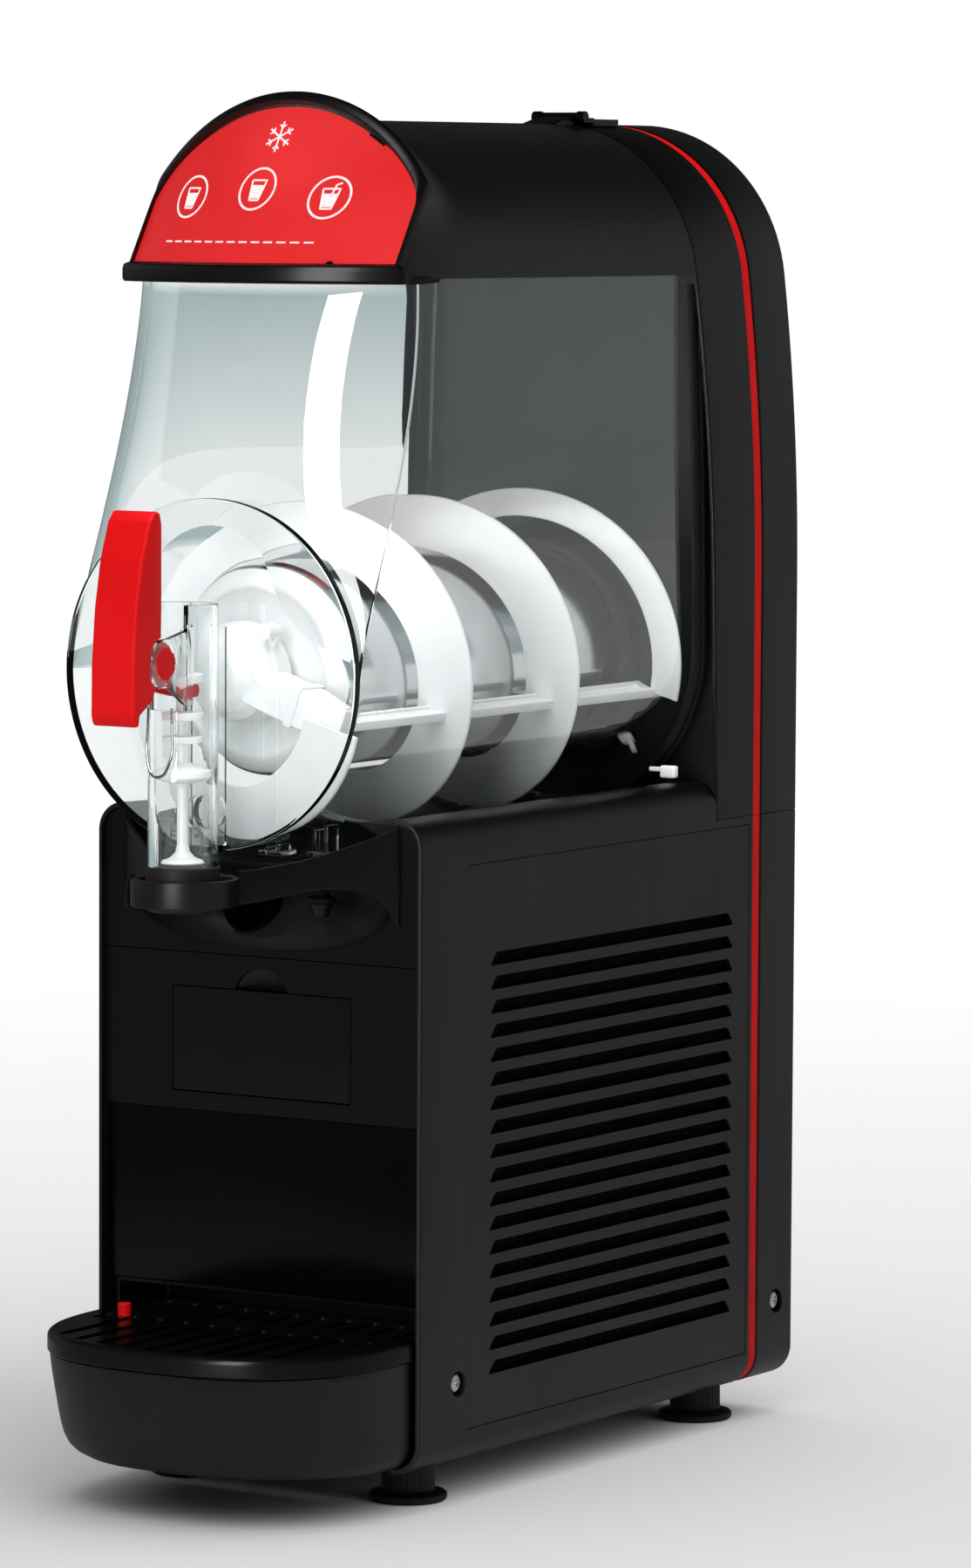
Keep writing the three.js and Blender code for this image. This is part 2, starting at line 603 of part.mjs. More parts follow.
function tapTower() {
  const { y, outer, top, bottom } = TOWER;
  const tube = rod("z", outer, bottom, top, { y }, 24);
  const bridge = box(-outer, outer, y, BOWL.discY, 408, 545);
  const side = [[-72, 553], [-100, 545], [-121, 540.6], [-133, 515], [-118, 511.5], [-100, 500], [-72, 500]];
  const cheek = (x0, x1) => join(
    prism("yz", side, x0, x1),
    rod("x", 15, x0, x1, { y: PIVOT.y, z: PIVOT.z }, 24),
  );
  return join(tube, bridge, cheek(13, 17), cheek(-17, -13));
}

function bowl() {
  const { y, bore } = TOWER;
  const disc = rod("y", BOWL.radius, BOWL.discY - 3, BOWL.discY + 3, { z: AXIS_Z }, 32);
  const shell = cut(bowlBody(0), bowlBody(BOWL.wall));
  return cut(
    join(shell, disc, tapTower()),
    rod("z", bore, TOWER.bottom - 5, TOWER.top + 5, { y }, 24), // the plunger's bore
    box(-12.6, 12.6, -150, y, 496, 600), // open front above the lower sleeve
    rod("x", PIVOT.bore, -30, 30, { y: PIVOT.y, z: PIVOT.z }, 24),
    rod("y", 11, y, -40, { z: 432 }, 24), // the port from the bowl
  );
}

function bowlGasket() {
  const band = (outset, low, high) => {
    const line = (o) => {
      const wall = Array.from({ length: 5 }, (_, i) => {
        const z = mix(750, AXIS_Z, i / 4);
        const t = clamp01((z - AXIS_Z) / (BOWL.top - AXIS_Z));
        const column = HALF_WIDTH - ARCH.flare * Math.max(0, z - ARCH.flareZ) ** 2 - COLUMN.wall;
        return [Math.min(mix(BOWL.radius, BOWL.topHalf, t * t) + o, column - 0.4), z];
      });
      const under = arc(0, AXIS_Z, BOWL.radius + o, 0, -180, 16).slice(1, -1);
      return [...wall, ...under, ...wall.map(([x, z]) => [-x, z]).reverse()];
    };
    return prism("xz", [...line(outset), ...line(0.5).reverse()], low, high);
  };
  return join(band(6.5, 344.5, 351.7), band(4, 339, 345));
}

// ---------------------------------------------------------------- tap
function tapPiston() {
  const profile = [
    [0, 402], [13.5, 402], [12, 404.5], [5.5, 407], [3.6, 411], [3.6, 450], [15, 453], [17.2, 455],
    [17.2, 459], [9, 461], [4.6, 464], [4.6, 475.5], [12.5, 475.5], [12.5, 479.5], [4.6, 479.5], [4.6, 489.5],
    [13, 489.5],
    [13, 494], [4.4, 494], [4.4, 511.6], [12.5, 511.6], [12.5, 517], [0, 517],
  ];
  return turned("z", profile.map(([r, z]) => [r, -z]), { y: TOWER.y }, 16).mirror([0, 0, 1]);
}

function handle() {
  const plate = [
    [-131, 618], [-136.5, 612], [-144.5, 590], [-150.5, 560], [-153.6, 526], [-154, 495], [-152, 489.5],
    [-147.5, 489.5], [-146.5, 496], [-133.5, 504], [-130, 511], [-124.5, 540], [-124, 560], [-124, 610],
    [-126, 617],
  ];
  const body = prism("yz", plate, -16, 16);
  const pocket = [
    [-127.5, 606], [-133, 606], [-140, 588], [-145.6, 560], [-148.4, 541], [-118, 541], [-118, 606],
  ];
  const lowPocket = [[-149.2, 508], [-149.2, 494], [-140, 494], [-120, 494], [-120, 508]];
  const pivot = { y: PIVOT.y, z: PIVOT.z };
  const tongue = join(box(-11.6, 11.6, -150, PIVOT.y, 516, 541), rod("x", 13.2, -11.6, 11.6, pivot, 24));
  const cheekRoom = [[11.9, 20], [-20, -11.9]].map(([x0, x1]) => rod("x", 16.5, x0, x1, pivot, 20));
  const trunnions = rod("x", PIVOT.trunnion, -17, 17, pivot, 24);
  const prong = [
    [-114, 531], [-103, 521], [-94.5, 511], [-80, 511], [-78, 503.6], [-82, 503.4], [-100, 507], [-114, 517],
  ];
  const prongs = [[5.2, 9.4], [-9.4, -5.2]].map(([x0, x1]) =>
    join(prism("yz", prong, x0, x1), rod("x", 4, x0, x1, { y: TOWER.y, z: 507.3 }, 12)),
  );
  const hollows = [pocket, lowPocket].map((outline) => prism("yz", outline, -12.6, 12.6));
  const shell = cut(body, ...hollows, ...cheekRoom);
  return join(shell, tongue, trunnions, ...prongs);
}

// A hairpin of spring wire that hangs from the tap's cheeks in front of the sleeve.
function returnSpring() {
  const half = [
    [8.6, -103.8, 498], [8.9, -104, 485], [9.4, -104.6, 472], [7.6, -105.6, 464], [4.6, -106.4, 458],
    [0, -107, 456],
  ];
  const wire = [...half, ...half.slice(0, -1).map(([x, y, z]) => [-x, y, z]).reverse()];
  return tube(wire, 1, 6, 16);
}

// ---------------------------------------------------------------- auger, drum and drive
function augerBlade() {
  const { outer, inner, rearInner, pitch, phaseY, thick, lean, railDegrees } = AUGER;
  const turns = 2.93;
  const steps = 56;
  const rings = Array.from({ length: steps + 1 }, (_, i) => {
    const degrees = railDegrees + (i / steps) * turns * 360;
    const y = phaseY - (pitch * degrees) / 360;
    const narrow = clamp01((y - 268) / 32);
    const low = mix(inner, rearInner, narrow);
    const back = lean * ((outer - low) / (outer - inner));
    const [c, s] = [Math.cos(rad(degrees)), Math.sin(rad(degrees))];
    const at = (r, yy) => [r * c, yy, AXIS_Z + r * s];
    return [at(outer, y), at(low, y - back), at(low, y - back - thick), at(outer, y - thick)];
  });
  return loft(rings);
}

function auger() {
  const { railDegrees } = AUGER;
  const turnTo = (body) =>
    body.translate([0, 0, -AXIS_Z]).rotate([0, -railDegrees, 0]).translate([0, 0, AXIS_Z]);
  const rail = turnTo(join(
    box(75, 88, -30, 331, AXIS_Z - 3, AXIS_Z + 3),
    box(84, 88, 330, 342, AXIS_Z - 3, AXIS_Z + 3),
  ));
  const arm = [[0, -34], [88, -31], [88, -21], [60, -12], [0, -8]];
  const beam = turnTo(prism("xy", arm, AXIS_Z - 12, AXIS_Z + 12));
  const hub = turned("y", [[0, -38], [12, -37], [26, -30], [31, -20], [31, -7], [0, -7]], { z: AXIS_Z }, 18);
  const bore = rod("y", SHAFT_RADIUS + 0.3, -22, 10, { z: AXIS_Z }, 24);
  return cut(join(augerBlade(), rail, beam, hub), bore);
}

function driveShaft() {
  return join(
    rod("y", SHAFT_RADIUS, -21.6, 392, { z: AXIS_Z }, 24),
    rod("y", 13, -6.6, -3, { z: AXIS_Z }, 24),
  );
}

function drum() {
  const { radius, front, back, tunnel, wall } = DRUM;
  const profile = [
    [tunnel, front - 3], [34, front - 2.4], [radius - 6, front], [radius, front + 6], [radius, back],
    [radius - wall, back], [radius - wall, front + 7], [radius - 8, front + 2], [tunnel + 2, front - 0.5],
    [tunnel + 2, back], [tunnel, back], [tunnel, front - 3],
  ];
  return turned("y", profile, { z: AXIS_Z }, 24);
}

function drumSeal() {
  const r = DRUM.radius + 0.3;
  const profile = [[r, 312], [70, 312], [72, 318], [72, 330], [80, 336], [80, 351.8], [r, 351.8], [r, 312]];
  return turned("y", profile, { z: AXIS_Z }, 24);
}

function gearMotor() {
  const body = join(
    box(-42, 42, 358, 394, AXIS_Z - 42, AXIS_Z + 60),
    rod("y", 34, 394, 446, { z: AXIS_Z + 26 }, 16),
    rod("y", 15, 355.4, 359, { z: AXIS_Z }, 24),
  );
  return cut(body, rod("y", SHAFT_RADIUS + 0.1, 350, 396, { z: AXIS_Z }, 24));
}

// ---------------------------------------------------------------- condensing unit
const FAN = { y: 132, z: 170, radius: 78 };
function compressor() {
  const dome = turned("z", [[0, -34], [40, -34], [60, -50], [60, -150], [48, -178], [20, -190], [0, -190]],
    { y: 318 }, 16).mirror([0, 0, 1]);
  const feet = join(box(-70, 70, 300, 336, 29.8, 36), box(-18, 18, 250, 386, 29.8, 36));
  return join(dome, feet, box(-30, 30, 252, 262, 70, 120));
}

function condenser() {
  const block = box(-96, 96, 74, 106, 62, 290);
  const grooves = Array.from({ length: 10 }, (_, i) => box(-90 + i * 18.4, -80 + i * 18.4, 72, 78, 68, 284));
  const legs = [-80, 80].map((x) => box(x - 8, x + 8, 84, 100, 29.8, 64));
  return cut(join(block, ...legs), ...grooves);
}

const PIPE = [
  [40, 300, 182.3], [40, 300, 230], [60, 250, 262], [80, 170, 306], [84, 104, 314], [84, 92, 294],
];
function fanShroud() {
  const plate = cut(box(-90, 90, 107, 109.5, 80, 262), rod("y", FAN.radius + 6, 100, 120, { z: FAN.z }, 20));
  const ring = cut(
    rod("y", FAN.radius + 8, 107, 138, { z: FAN.z }, 20),
    rod("y", FAN.radius + 5, 100, 145, { z: FAN.z }, 20),
  );
  const strap = box(-FAN.radius - 7, FAN.radius + 7, 140, 143, FAN.z - 9, FAN.z + 9);
  const arms = [-1, 1].map((s) => {
    return boxBetween(s * 83.4, s * 86, 130, 143, FAN.z - 9, FAN.z + 9);
  });
  return join(plate, ring, strap, ...arms).subtract(rod("y", 4, 135, 150, { z: FAN.z }, 12));
}

function fanBlade() {
  const hub = rod("y", 20, 118, 136, { z: FAN.z }, 24);
  const blades = Array.from({ length: 5 }, (_, i) => {
    const rings = [16, 34, 56, FAN.radius].map((r) => {
      const half = 0.34 + r * 0.0012;
      const at = (a, y) => [r * Math.cos(a), y, FAN.z + r * Math.sin(a)];
      const base = rad(i * 72);
      return [at(base - half, 133), at(base + half, 121), at(base + half, 119), at(base - half, 131)];
    });
    return loft(rings);
  });
  return cut(join(hub, ...blades), rod("y", 3.08, 124, 140, { z: FAN.z }, 24));
}

function fanMotor() {
  return join(rod("y", 30, 143.4, 178, { z: FAN.z }, 24), rod("y", 3, 124.4, 150, { z: FAN.z }, 24));
}

// ---------------------------------------------------------------- drip tray
function dripTray() {
  const { bottom, rim } = TRAY;
  const ring = (inset, z) => trayPlan(inset).map(([x, y]) => [x, y, z]);
  // [how far in from the plan, height above the bottom]
  const outside = [[26, 0], [14, 2.6], [8.5, 12], [5, 26], [1.5, rim - 0.4 - bottom]];
  const inside = [[29, 3], [11.5, 15], [8, 28], [5, rim + 1 - bottom]];
  const outer = loft(outside.map(([inset, rise]) => ring(inset, bottom + rise)));
  const inner = loft(inside.map(([inset, rise]) => ring(inset, bottom + rise)));
  const wing = cut(box(-109, 109, -4, 58, 52, rim - 0.4), box(-106, 106, -8, 55, 55, rim + 5));
  const passage = box(-100, 100, -12, 10, 55, rim + 5);
  const post = rod("z", 6, bottom + 2, FLOAT.post, FLOAT, 12);
  return join(cut(join(cut(outer, inner), wing), passage), post);
}

function trayGrille() {
  const { rim, top } = TRAY;
  const plan = trayPlan(0);
  const skirt = cut(
    prism("xy", plan, rim, top),
    prism("xy", trayPlan(3.2), rim - 5, top - 3.4),
    box(-108, 108, -10, 2, rim - 5, top - 3.4),
  );
  const rear = box(-108.5, 108.5, -4, 57, top - 3.4, top - 0.8);
  const { pitch, slot: width, frontMargin, frontEnd, outerReach, rearY0, rearY1 } = GRILLE;
  const slot = (x, y0, y1) => box(x - width / 2, x + width / 2, y0, y1, top - 10, top + 4);
  const { halfX, depth, power } = TRAY;
  const reach = (x) => frontMargin - depth * (1 - (Math.abs(x) / halfX) ** power) ** (1 / power);
  const slots = Array.from({ length: 11 }, (_, i) => {
    const x = (i - 5) * pitch;
    const front = Math.abs(i - 5) === 5 ? outerReach : reach(x);
    return join(slot(x, front, frontEnd), slot(x, rearY0, rearY1));
  });
  const pinHole = rod("z", FLOAT.pin + 0.6, top - 10, top + 4, FLOAT, 16);
  return cut(join(skirt, rear), ...slots, pinHole);
}

function floatIndicator() {
  const { disc, pin, top } = FLOAT;
  const profile = [[0, -60], [disc, -60], [disc, -70], [pin, -74], [pin, -top], [0, -top]];
  return turned("z", profile, FLOAT, 20).mirror([0, 0, 1]);
}

function trayBay() {
  return cut(box(-113, 113, 9, 64, 48, 127.4), box(-110.6, 110.6, 0, 61.6, 50.4, 125));
}

// ---------------------------------------------------------------- fasteners
function sideScrew(y) {
  const { z, head: r } = SCREW;
  const head = turned("x", [[0, 116.8], [r, 116.8], [r, 118.4], [r * 0.7, 119.9], [0, 120.5]], { y, z }, 12);
  const drive = join(
    box(118.6, 125, y - 3.2, y + 3.2, z - 0.6, z + 0.6),
    box(118.6, 125, y - 0.6, y + 0.6, z - 3.2, z + 3.2),
  );
  return cut(join(head, rod("x", 2.4, 114.4, 117, { y, z }, 12)), drive);
}

// ---------------------------------------------------------------- the machine
const M = MATERIAL;
add("base_pan", M.painted, basePan());
footPlaces().forEach(([x, y], i) => {
  const name = ["front_left", "front_right", "rear_left", "rear_right"][i];
  add(`foot_${name}`, M.rubber, foot(x, y));
});
add("cabinet_side_right", M.black, cabinetSide());
add("cabinet_side_left", M.black, mirrored(cabinetSide()));
add("vent_panel_right", M.black, ventPanel());
add("vent_panel_left", M.black, mirrored(ventPanel()));
add("top_deck", M.black, topDeck());
add("front_fascia", M.black, frontFascia());
add("drain_nozzle", M.black, drainNozzle());
add("middle_panel", M.black, middlePanel());
add("splash_panel", M.gloss, box(-117.6, 117.6, 6, 8.5, 128.4, 237.9));
add("control_flap", M.black, controlFlap());
add("control_box", M.black, controlBox());
add("power_switch", M.gloss, switchBody(-34));
add("power_rocker", M.red, rockerKey(-34));
add("mode_switch", M.gloss, switchBody(6));
add("mode_rocker", M.white, rockerKey(6));
add("density_knob", M.black, densityKnob());
add("drip_collector", M.black, dripCollector());
add("outlet_guard", M.black, outletGuard());
add("outlet_cap", M.rubber, outletCap());
add("column_shell", M.black, columnShell());
add("bulkhead", M.painted, bulkhead());
add("upper_trim", M.red, upperTrim());
add("lower_trim_right", M.red, lowerTrim());
add("lower_trim_left", M.red, mirrored(lowerTrim()));
add("rear_cover_upper", M.black, rearCoverUpper());
add("rear_cover_lower", M.black, rearCoverLower());
add("power_inlet", M.black, powerInlet());
add("hood", M.black, hoodShell());
add("light_panel", M.red, lightPanel());
add("lamp_board", M.board, lampBoard());
add("hinge_block", M.black, hingeBlock());
add("bowl", M.clear, bowl());
add("bowl_gasket", M.rubber, bowlGasket());
add("tap_piston", M.white, tapPiston());
add("tap_handle", M.red, handle());
add("return_spring", M.chrome, returnSpring());
add("auger", M.white, auger());
add("drive_shaft", M.steel, driveShaft());
add("evaporator_drum", M.steel, drum());
add("drum_seal", M.rubber, drumSeal());
add("gear_motor", M.painted, gearMotor());
add("compressor", M.painted, compressor());
add("condenser", M.fins, condenser());
add("fan_shroud", M.painted, fanShroud());
add("fan_blade", M.fins, fanBlade());
add("fan_motor", M.painted, fanMotor());
add("discharge_pipe", M.copper, tube(PIPE, 4, 6, 16));
add("tray_bay", M.black, trayBay());
add("drip_tray", M.black, dripTray());
add("tray_grille", M.black, trayGrille());
add("float_indicator", M.red, floatIndicator());
for (const [side, flip] of [["right", false], ["left", true]]) {
  for (const [end, y] of [["front", SCREW.frontY], ["rear", SCREW.rearY]]) {
    const screw = sideScrew(y);
    add(`side_screw_${end}_${side}`, M.chrome, flip ? mirrored(screw) : screw);
  }
}

export default machine;
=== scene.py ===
import json
import math

import bmesh
import bpy
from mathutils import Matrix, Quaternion, Vector

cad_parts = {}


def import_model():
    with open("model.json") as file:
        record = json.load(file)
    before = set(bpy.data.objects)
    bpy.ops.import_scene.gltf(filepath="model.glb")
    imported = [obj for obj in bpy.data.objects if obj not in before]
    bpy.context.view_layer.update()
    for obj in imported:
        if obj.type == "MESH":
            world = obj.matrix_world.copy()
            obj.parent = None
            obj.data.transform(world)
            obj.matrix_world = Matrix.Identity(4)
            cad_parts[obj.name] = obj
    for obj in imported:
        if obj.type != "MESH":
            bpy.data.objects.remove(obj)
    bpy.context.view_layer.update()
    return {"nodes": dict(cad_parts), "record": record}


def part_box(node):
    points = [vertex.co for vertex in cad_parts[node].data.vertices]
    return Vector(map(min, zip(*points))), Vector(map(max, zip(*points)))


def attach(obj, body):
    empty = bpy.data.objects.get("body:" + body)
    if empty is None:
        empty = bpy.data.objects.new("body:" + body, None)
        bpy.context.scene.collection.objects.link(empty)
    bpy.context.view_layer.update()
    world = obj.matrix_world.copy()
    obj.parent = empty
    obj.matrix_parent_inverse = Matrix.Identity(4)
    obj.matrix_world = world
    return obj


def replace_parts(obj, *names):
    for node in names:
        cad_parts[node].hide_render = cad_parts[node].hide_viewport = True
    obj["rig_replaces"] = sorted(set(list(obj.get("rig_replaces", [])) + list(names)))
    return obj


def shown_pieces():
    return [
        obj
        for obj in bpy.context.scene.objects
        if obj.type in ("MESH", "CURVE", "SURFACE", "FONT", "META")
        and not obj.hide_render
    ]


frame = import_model()

# Shapes are written in the machine's own millimetres: x to the right of someone facing the tap, y back
# from the plane of the cabinet's front edges, z up from the counter. place() turns them into metres.
MM = 0.001
FRONT_SKIN = 4.0
FRONT_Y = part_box("middle_panel")[0].y - FRONT_SKIN * MM
RECORD = frame["record"]
BODY_OF = {node: body for body, nodes in RECORD["behaviour"]["bodies"].items() for node in nodes}
SLOT_OF = {part["node"]: part["material_slot"] for part in RECORD["subparts"]}


def place(x, y, z):
    return Vector((x * MM, FRONT_Y + y * MM, z * MM))


def span(node):
    """A CAD node's limits in machine millimetres: ((x0, x1), (y0, y1), (z0, z1))."""
    low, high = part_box(node)
    shift = (0, FRONT_Y, 0)
    return [((low[i] - shift[i]) / MM, (high[i] - shift[i]) / MM) for i in range(3)]


def joint_at(name):
    """The (y, z) of a joint's axis in machine millimetres."""
    position = next(j for j in RECORD["behaviour"]["joints"] if j["name"] == name)["pos_m"]
    return (position[1] - FRONT_Y) / MM, position[2] / MM


# ---------------------------------------------------------------- numbers
def mix(a, b, t):
    return a + (b - a) * t


def clamp01(t):
    return min(1.0, max(0.0, t))


def smooth(t):
    t = clamp01(t)
    return t * t * (3 - 2 * t)


def steps(count):
    """Shares from 0 to 1, both included."""
    return [i / count for i in range(count + 1)]


def piecewise(x, points):
    """The value at x of a line through points, which are sorted by x."""
    for (x0, v0), (x1, v1) in zip(points, points[1:]):
        if x <= x1:
            return mix(v0, v1, clamp01((x - x0) / (x1 - x0)))
    return points[-1][1]


# ---------------------------------------------------------------- outlines
def arc(cx, cy, radius, start, end, count):
    """Points of an arc between two angles in degrees."""
    angles = [math.radians(mix(start, end, t)) for t in steps(count)]
    return [(cx + radius * math.cos(a), cy + radius * math.sin(a)) for a in angles]


def fillet(points, radius, count=5, closed=True):
    """Rounds the corners of an outline; radius is one number or one for each corner."""
    made = []
    total = len(points)
    radii = radius if isinstance(radius, (list, tuple)) else [radius] * total
    for i, corner in enumerate(points):
        ends = not closed and i in (0, total - 1)
        p, before, after = Vector(corner), Vector(points[i - 1]), Vector(points[(i + 1) % total])
        a, b = before - p, after - p
        if ends or radii[i] <= 0 or a.length < 1e-6 or b.length < 1e-6:
            made.append(tuple(p))
            continue
        turn = math.pi - a.angle(b)
        reach = min(radii[i] * math.tan(turn / 2), a.length * 0.48, b.length * 0.48)
        if reach < 0.02 or turn < 0.03:
            made.append(tuple(p))
            continue
        start, end = p + a.normalized() * reach, p + b.normalized() * reach
        for t in steps(count):
            made.append(tuple(start.lerp(p, t).lerp(p.lerp(end, t), t)))
    return made


def area(points):
    pairs = zip(points, points[1:] + points[:1])
    return sum(a[0] * b[1] - b[0] * a[1] for a, b in pairs) / 2


def inset(points, distance):
    """The outline moved inwards by a distance."""
    side = 1 if area(points) > 0 else -1
    made = []
    for i, point in enumerate(points):
        p = Vector(point)
        before = (p - Vector(points[i - 1])).normalized()
        after = (Vector(points[(i + 1) % len(points)]) - p).normalized()
        n0, n1 = Vector((-before.y, before.x)), Vector((-after.y, after.x))
        bisector = n0 + n1
        if bisector.length < 1e-6:
            bisector = n0
        bisector.normalize()
        stretch = 1 / max(0.4, bisector.dot(n0))
        made.append(tuple(p + bisector * distance * side * stretch))
    return made


def rectangle(x0, x1, y0, y1):
    return [(x0, y0), (x1, y0), (x1, y1), (x0, y1)]


def rounded_rectangle(x0, x1, y0, y1, radius, count=5):
    return fillet(rectangle(x0, x1, y0, y1), radius, count)


def mirror_line(points):
    """A line from the right side followed by its mirror image on the left."""
    return list(points) + [(-p[0], *p[1:]) for p in reversed(points)]


# ---------------------------------------------------------------- solids
def new_object(verts, faces):
    mesh = bpy.data.meshes.new("piece")
    mesh.from_pydata([place(*v) for v in verts], [], faces)
    made = bmesh.new()
    made.from_mesh(mesh)
    bmesh.ops.remove_doubles(made, verts=made.verts, dist=2e-7)
    bmesh.ops.recalc_face_normals(made, faces=made.faces)
    made.to_mesh(mesh)
    made.free()
    obj = bpy.data.objects.new("piece", mesh)
    bpy.context.scene.collection.objects.link(obj)
    return obj


def loft(rings):
    """Skins a stack of closed rings and closes both ends."""
    n = len(rings[0])
    verts = [p for ring in rings for p in ring]
    faces = []
    for k in range(len(rings) - 1):
        for i in range(n):
            j = (i + 1) % n
            faces.append((k * n + i, k * n + j, (k + 1) * n + j, (k + 1) * n + i))
    last = (len(rings) - 1) * n
    faces += [tuple(range(n)), tuple(range(last, last + n))]
    return new_object(verts, faces)


def shell(outer, inner):
    """A sheet with thickness between two grids of points of the same size, closed all round."""
    rows, columns = len(outer), len(outer[0])
    verts = [p for row in outer for p in row] + [p for row in inner for p in row]
    base = rows * columns
    faces = []
    for r in range(rows - 1):
        for c in range(columns - 1):
            a = r * columns + c
            quad = (a, a + 1, a + columns + 1, a + columns)
            faces += [quad, tuple(i + base for i in quad)]
    rim = [(0, c) for c in range(columns)] + [(r, columns - 1) for r in range(1, rows)]
    rim += [(rows - 1, c) for c in range(columns - 2, -1, -1)] + [(r, 0) for r in range(rows - 2, 0, -1)]
    indices = [r * columns + c for r, c in rim]
    for a, b in zip(indices, indices[1:] + indices[:1]):
        faces.append((a, b, b + base, a + base))
    return new_object(verts, faces)


AXES = {
    "xz": lambda a, b, c: (a, c, b),
    "yz": lambda a, b, c: (c, a, b),
    "xy": lambda a, b, c: (a, b, c),
}


def prism(plane, outline, low, high, round_low=0.0, round_high=0.0, count=4):
    """An outline pushed along the axis that its plane lacks, with rounded edges at either end."""
    rings = []
    if round_low:
        angles = [t * math.pi / 2 for t in steps(count)]
        rings += [(round_low * (1 - math.sin(a)), low + round_low * (1 - math.cos(a))) for a in angles]
    else:
        rings.append((0, low))
    if round_high:
        angles = [(1 - t) * math.pi / 2 for t in steps(count)]
        rings += [(round_high * (1 - math.sin(a)), high - round_high * (1 - math.cos(a))) for a in angles]
    else:
        rings.append((0, high))
    turn = AXES[plane]
    return loft([[turn(a, b, c) for a, b in (inset(outline, d) if d else outline)] for d, c in rings])


def block(x0, x1, y0, y1, z0, z1, radius=0.0, ends=None):
    """A box whose edges along z have one radius and whose end edges have another."""
    ends = radius if ends is None else ends
    outline = rounded_rectangle(x0, x1, y0, y1, radius) if radius else rectangle(x0, x1, y0, y1)
    return prism("xy", outline, z0, z1, ends, ends, 3)


def lathe(axis, profile, at=(0, 0, 0), segments=64, rounding=0.0):
    """A closed profile of (radius, place along the axis) turned round the axis through a point."""
    line = fillet(profile, [0 if p[0] < 1e-6 else rounding for p in profile], 4) if rounding else profile
    cx, cy, cz = at
    rings = []
    for i in range(segments):
        a = 2 * math.pi * i / segments
        c, s = math.cos(a), math.sin(a)
        turn = {
            "x": lambda r, h: (cx + h, cy + r * c, cz + r * s),
            "y": lambda r, h: (cx + r * c, cy + h, cz + r * s),
            "z": lambda r, h: (cx + r * c, cy + r * s, cz + h),
        }[axis]
        rings.append([turn(r, h) for r, h in line])
    n = len(line)
    verts = [p for ring in rings for p in ring]
    faces = []
    for k in range(segments):
        for i in range(n):
            j = (i + 1) % n
            if line[i][0] < 1e-6 and line[j][0] < 1e-6:
                continue
            m = (k + 1) % segments
            faces.append((k * n + i, k * n + j, m * n + j, m * n + i))
    return new_object(verts, faces)


def rod(axis, radius, low, high, at=(0, 0, 0), rounding=0.0, segments=48):
    return lathe(axis, [(0, low), (radius, low), (radius, high), (0, high)], at, segments, rounding)


def spline(points, per_span=8):
    """A smooth line through points."""
    made = []
    p = [Vector(q) for q in points]
    for i in range(len(p) - 1):
        before = p[i - 1] if i else p[0] * 2 - p[1]
        after = p[i + 2] if i + 2 < len(p) else p[-1] * 2 - p[-2]
        for k in range(per_span):
            t = k / per_span
            a = 2 * p[i] + (p[i + 1] - before) * t
            b = (2 * before - 5 * p[i] + 4 * p[i + 1] - after) * t * t
            c = (3 * p[i] - before - 3 * p[i + 1] + after) * t * t * t
            made.append((a + b + c) / 2)
    return made + [p[-1]]


def tube(points, radius, sides=12):
    """A round tube along a line of points, all in machine millimetres."""
    path = [Vector(p) for p in points]
    rings = []
    normal = None
    for i, p in enumerate(path):
        ahead = path[min(i + 1, len(path) - 1)] - path[max(i - 1, 0)]
        ahead.normalize()
        if normal is None:
            normal = ahead.orthogonal().normalized()
        normal = (normal - ahead * normal.dot(ahead)).normalized()
        other = ahead.cross(normal)
        angles = [2 * math.pi * k / sides for k in range(sides)]
        rings.append([tuple(p + (normal * math.cos(a) + other * math.sin(a)) * radius) for a in angles])
    return loft(rings)


def combine(operation, body, *others):
    """Joins solids to a body or cuts them from it, and removes them."""
    for other in others:
        modifier = body.modifiers.new("combine", "BOOLEAN")
        modifier.operation = operation
        modifier.solver = "MANIFOLD"
        modifier.object = other
    bpy.context.view_layer.update()
    evaluated = body.evaluated_get(bpy.context.evaluated_depsgraph_get())
    mesh = bpy.data.meshes.new_from_object(evaluated)
    body.modifiers.clear()
    body.data = mesh
    for other in others:
        bpy.data.objects.remove(other)
    return body


def cut(body, *tools):
    return combine("DIFFERENCE", body, *tools)


def fuse(body, *others):
    return combine("UNION", body, *others)


def gather(*objects):
    """Puts separate solids that don't touch into one object."""
    made = bmesh.new()
    for obj in objects:
        made.from_mesh(obj.data)
    made.to_mesh(objects[0].data)
    made.free()
    for obj in objects[1:]:
        bpy.data.objects.remove(obj)
    return objects[0]


def mirrored(obj):
    """A mirror image across the machine's middle plane."""
    copy = obj.copy()
    copy.data = obj.data.copy()
    bpy.context.scene.collection.objects.link(copy)
    for vertex in copy.data.vertices:
        vertex.co.x = -vertex.co.x
    copy.data.flip_normals()
    return copy


